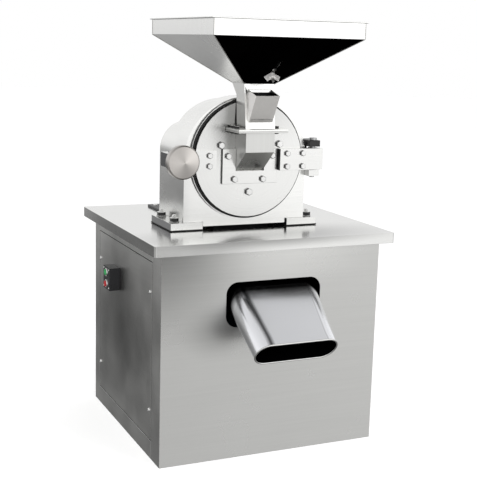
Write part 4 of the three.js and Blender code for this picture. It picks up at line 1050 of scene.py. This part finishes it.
button_collar("start_collar", "start_button")
button_collar("stop_collar", "stop_button")
across = (switch_low.y + SCREW_INSET, switch_high.y - SCREW_INSET)
upward = (switch_low.z + SCREW_INSET, switch_high.z - SCREW_INSET)
screws("switch_screw", [Vector((switch_low.x, y, z)) for y in across for z in upward], LEFT, 2.6, "root")

# ---------------------------------------------------------------- floor, light and camera

# Brightness of the room by the height of the direction, from straight down to straight up.
ROOM = [
    (-1.0, 0.12), (-0.6, 0.2), (-0.42, 0.34), (-0.2, 0.42), (-0.05, 0.62),
    (0.04, 0.85), (0.25, 0.95), (0.7, 0.8), (1.0, 0.7),
]
# Brighter and darker patches: direction, inner and outer angle in degrees, strength.
PATCHES = [
    ((0.47, -0.87, -0.15), 14, 48, 0.6),
    ((0.24, -0.95, -0.2), 3, 11, -0.5),
    ((-0.33, 0.9, -0.3), 6, 20, -0.3),
]
DARKEST = 0.03
LIGHT_TARGET = Vector((0, 0, 0.4))
LIGHT_SIZE = 2.6
FLOOR_RINGS = (1.2, 3, 8, 20)
CAMERA_PLACE = Vector((-1.1023, -2.48868, 1.03271))
CAMERA_TURN = (24.3358, 10.9503, 1.56545)       # to the right, down and rolled, in degrees
CAMERA_LENS = 76.121


def studio_floor():
    """A pale disc that takes soft shadows and doesn't show in reflections."""
    bm = bmesh.new()
    rings = [corners(bm, circle(r, 0, 96)) for r in FLOOR_RINGS]
    bm.faces.new(rings[0])
    for near, far in zip(rings, rings[1:]):
        bridge(bm, near, far)
    mesh = bpy.data.meshes.new("floor")
    bm.to_mesh(mesh)
    bm.free()
    material, _, shader = start_material("pale_floor")
    shader.inputs["Base Color"].default_value = (0.92, 0.92, 0.92, 1)
    shader.inputs["Roughness"].default_value = 0.9
    shader.inputs["Specular IOR Level"].default_value = 0.0
    shader.inputs["Emission Color"].default_value = (1, 1, 1, 1)
    shader.inputs["Emission Strength"].default_value = 0.25
    mesh.materials.append(material)
    made = bpy.data.objects.new("floor", mesh)
    bpy.context.scene.collection.objects.link(made)
    made.visible_glossy = False


def studio_world():
    """A soft room that the steel reflects, behind a white background."""
    world = bpy.data.worlds.new("studio")
    bpy.context.scene.world = world
    world.use_nodes = True
    tree = world.node_tree
    tree.nodes.clear()
    way = add(tree, "ShaderNodeTexCoord").outputs["Generated"]
    ramp = add(tree, "ShaderNodeValToRGB", {"Fac": spread(tree, split(tree, way)["Z"], 0, 1, -1, 1)})
    stops = ramp.color_ramp.elements
    while len(stops) < len(ROOM):
        stops.new(0.5)
    for stop, (z, value) in zip(stops, ROOM):
        stop.position = (z + 1) / 2
        stop.color = (value, value, value, 1)
    total = ramp.outputs["Color"]
    for axis, inner, outer, strength in PATCHES:
        facing = vector_node(tree, "DOT_PRODUCT", way, tuple(Vector(axis).normalized()))
        near, far = math.cos(math.radians(inner)), math.cos(math.radians(outer))
        total = math_node(tree, "ADD", total, spread(tree, facing, 0.0, strength, far, near, "SMOOTHSTEP"))
    seen = add(tree, "ShaderNodeLightPath").outputs["Is Camera Ray"]
    room = add(tree, "ShaderNodeBackground", {"Color": math_node(tree, "MAXIMUM", total, DARKEST)})
    white = add(tree, "ShaderNodeBackground", {"Color": (1, 1, 1, 1), "Strength": 1.0})
    mixed = add(tree, "ShaderNodeMixShader", {0: seen, 1: room.outputs[0], 2: white.outputs[0]})
    add(tree, "ShaderNodeOutputWorld", {"Surface": mixed.outputs[0]})


def soft_light(name, at, power):
    """A wide round light, which faces the model and doesn't show in reflections."""
    data = bpy.data.lights.new(name, "AREA")
    data.shape = "DISK"
    data.size = LIGHT_SIZE
    data.energy = power
    made = bpy.data.objects.new(name, data)
    bpy.context.scene.collection.objects.link(made)
    made.matrix_world = aim(Vector(at), Vector(at) - LIGHT_TARGET)
    made.visible_glossy = False


def camera():
    """Stands in front and to the left of the mill, a little above the hopper's foot."""
    yaw, pitch, roll = (math.radians(angle) for angle in CAMERA_TURN)
    ahead = Vector((math.sin(yaw) * math.cos(pitch), math.cos(yaw) * math.cos(pitch), -math.sin(pitch)))
    level = Vector((math.cos(yaw), -math.sin(yaw), 0))
    above = level.cross(ahead)
    right = level * math.cos(roll) + above * math.sin(roll)
    top = above * math.cos(roll) - level * math.sin(roll)
    data = bpy.data.cameras.new("camera")
    data.sensor_width = 36
    data.lens = CAMERA_LENS
    data.clip_start, data.clip_end = 0.05, 100
    made = bpy.data.objects.new("camera", data)
    bpy.context.scene.collection.objects.link(made)
    axes = Matrix((right, top, -ahead)).transposed().to_4x4()
    made.matrix_world = Matrix.Translation(CAMERA_PLACE) @ axes
    bpy.context.scene.camera = made


studio_floor()
studio_world()
soft_light("key", (1.8, -2.2, 3.2), 60)
soft_light("fill", (-2.6, -1.0, 2.2), 30)
camera()
bpy.context.scene.view_settings.view_transform = "Standard"
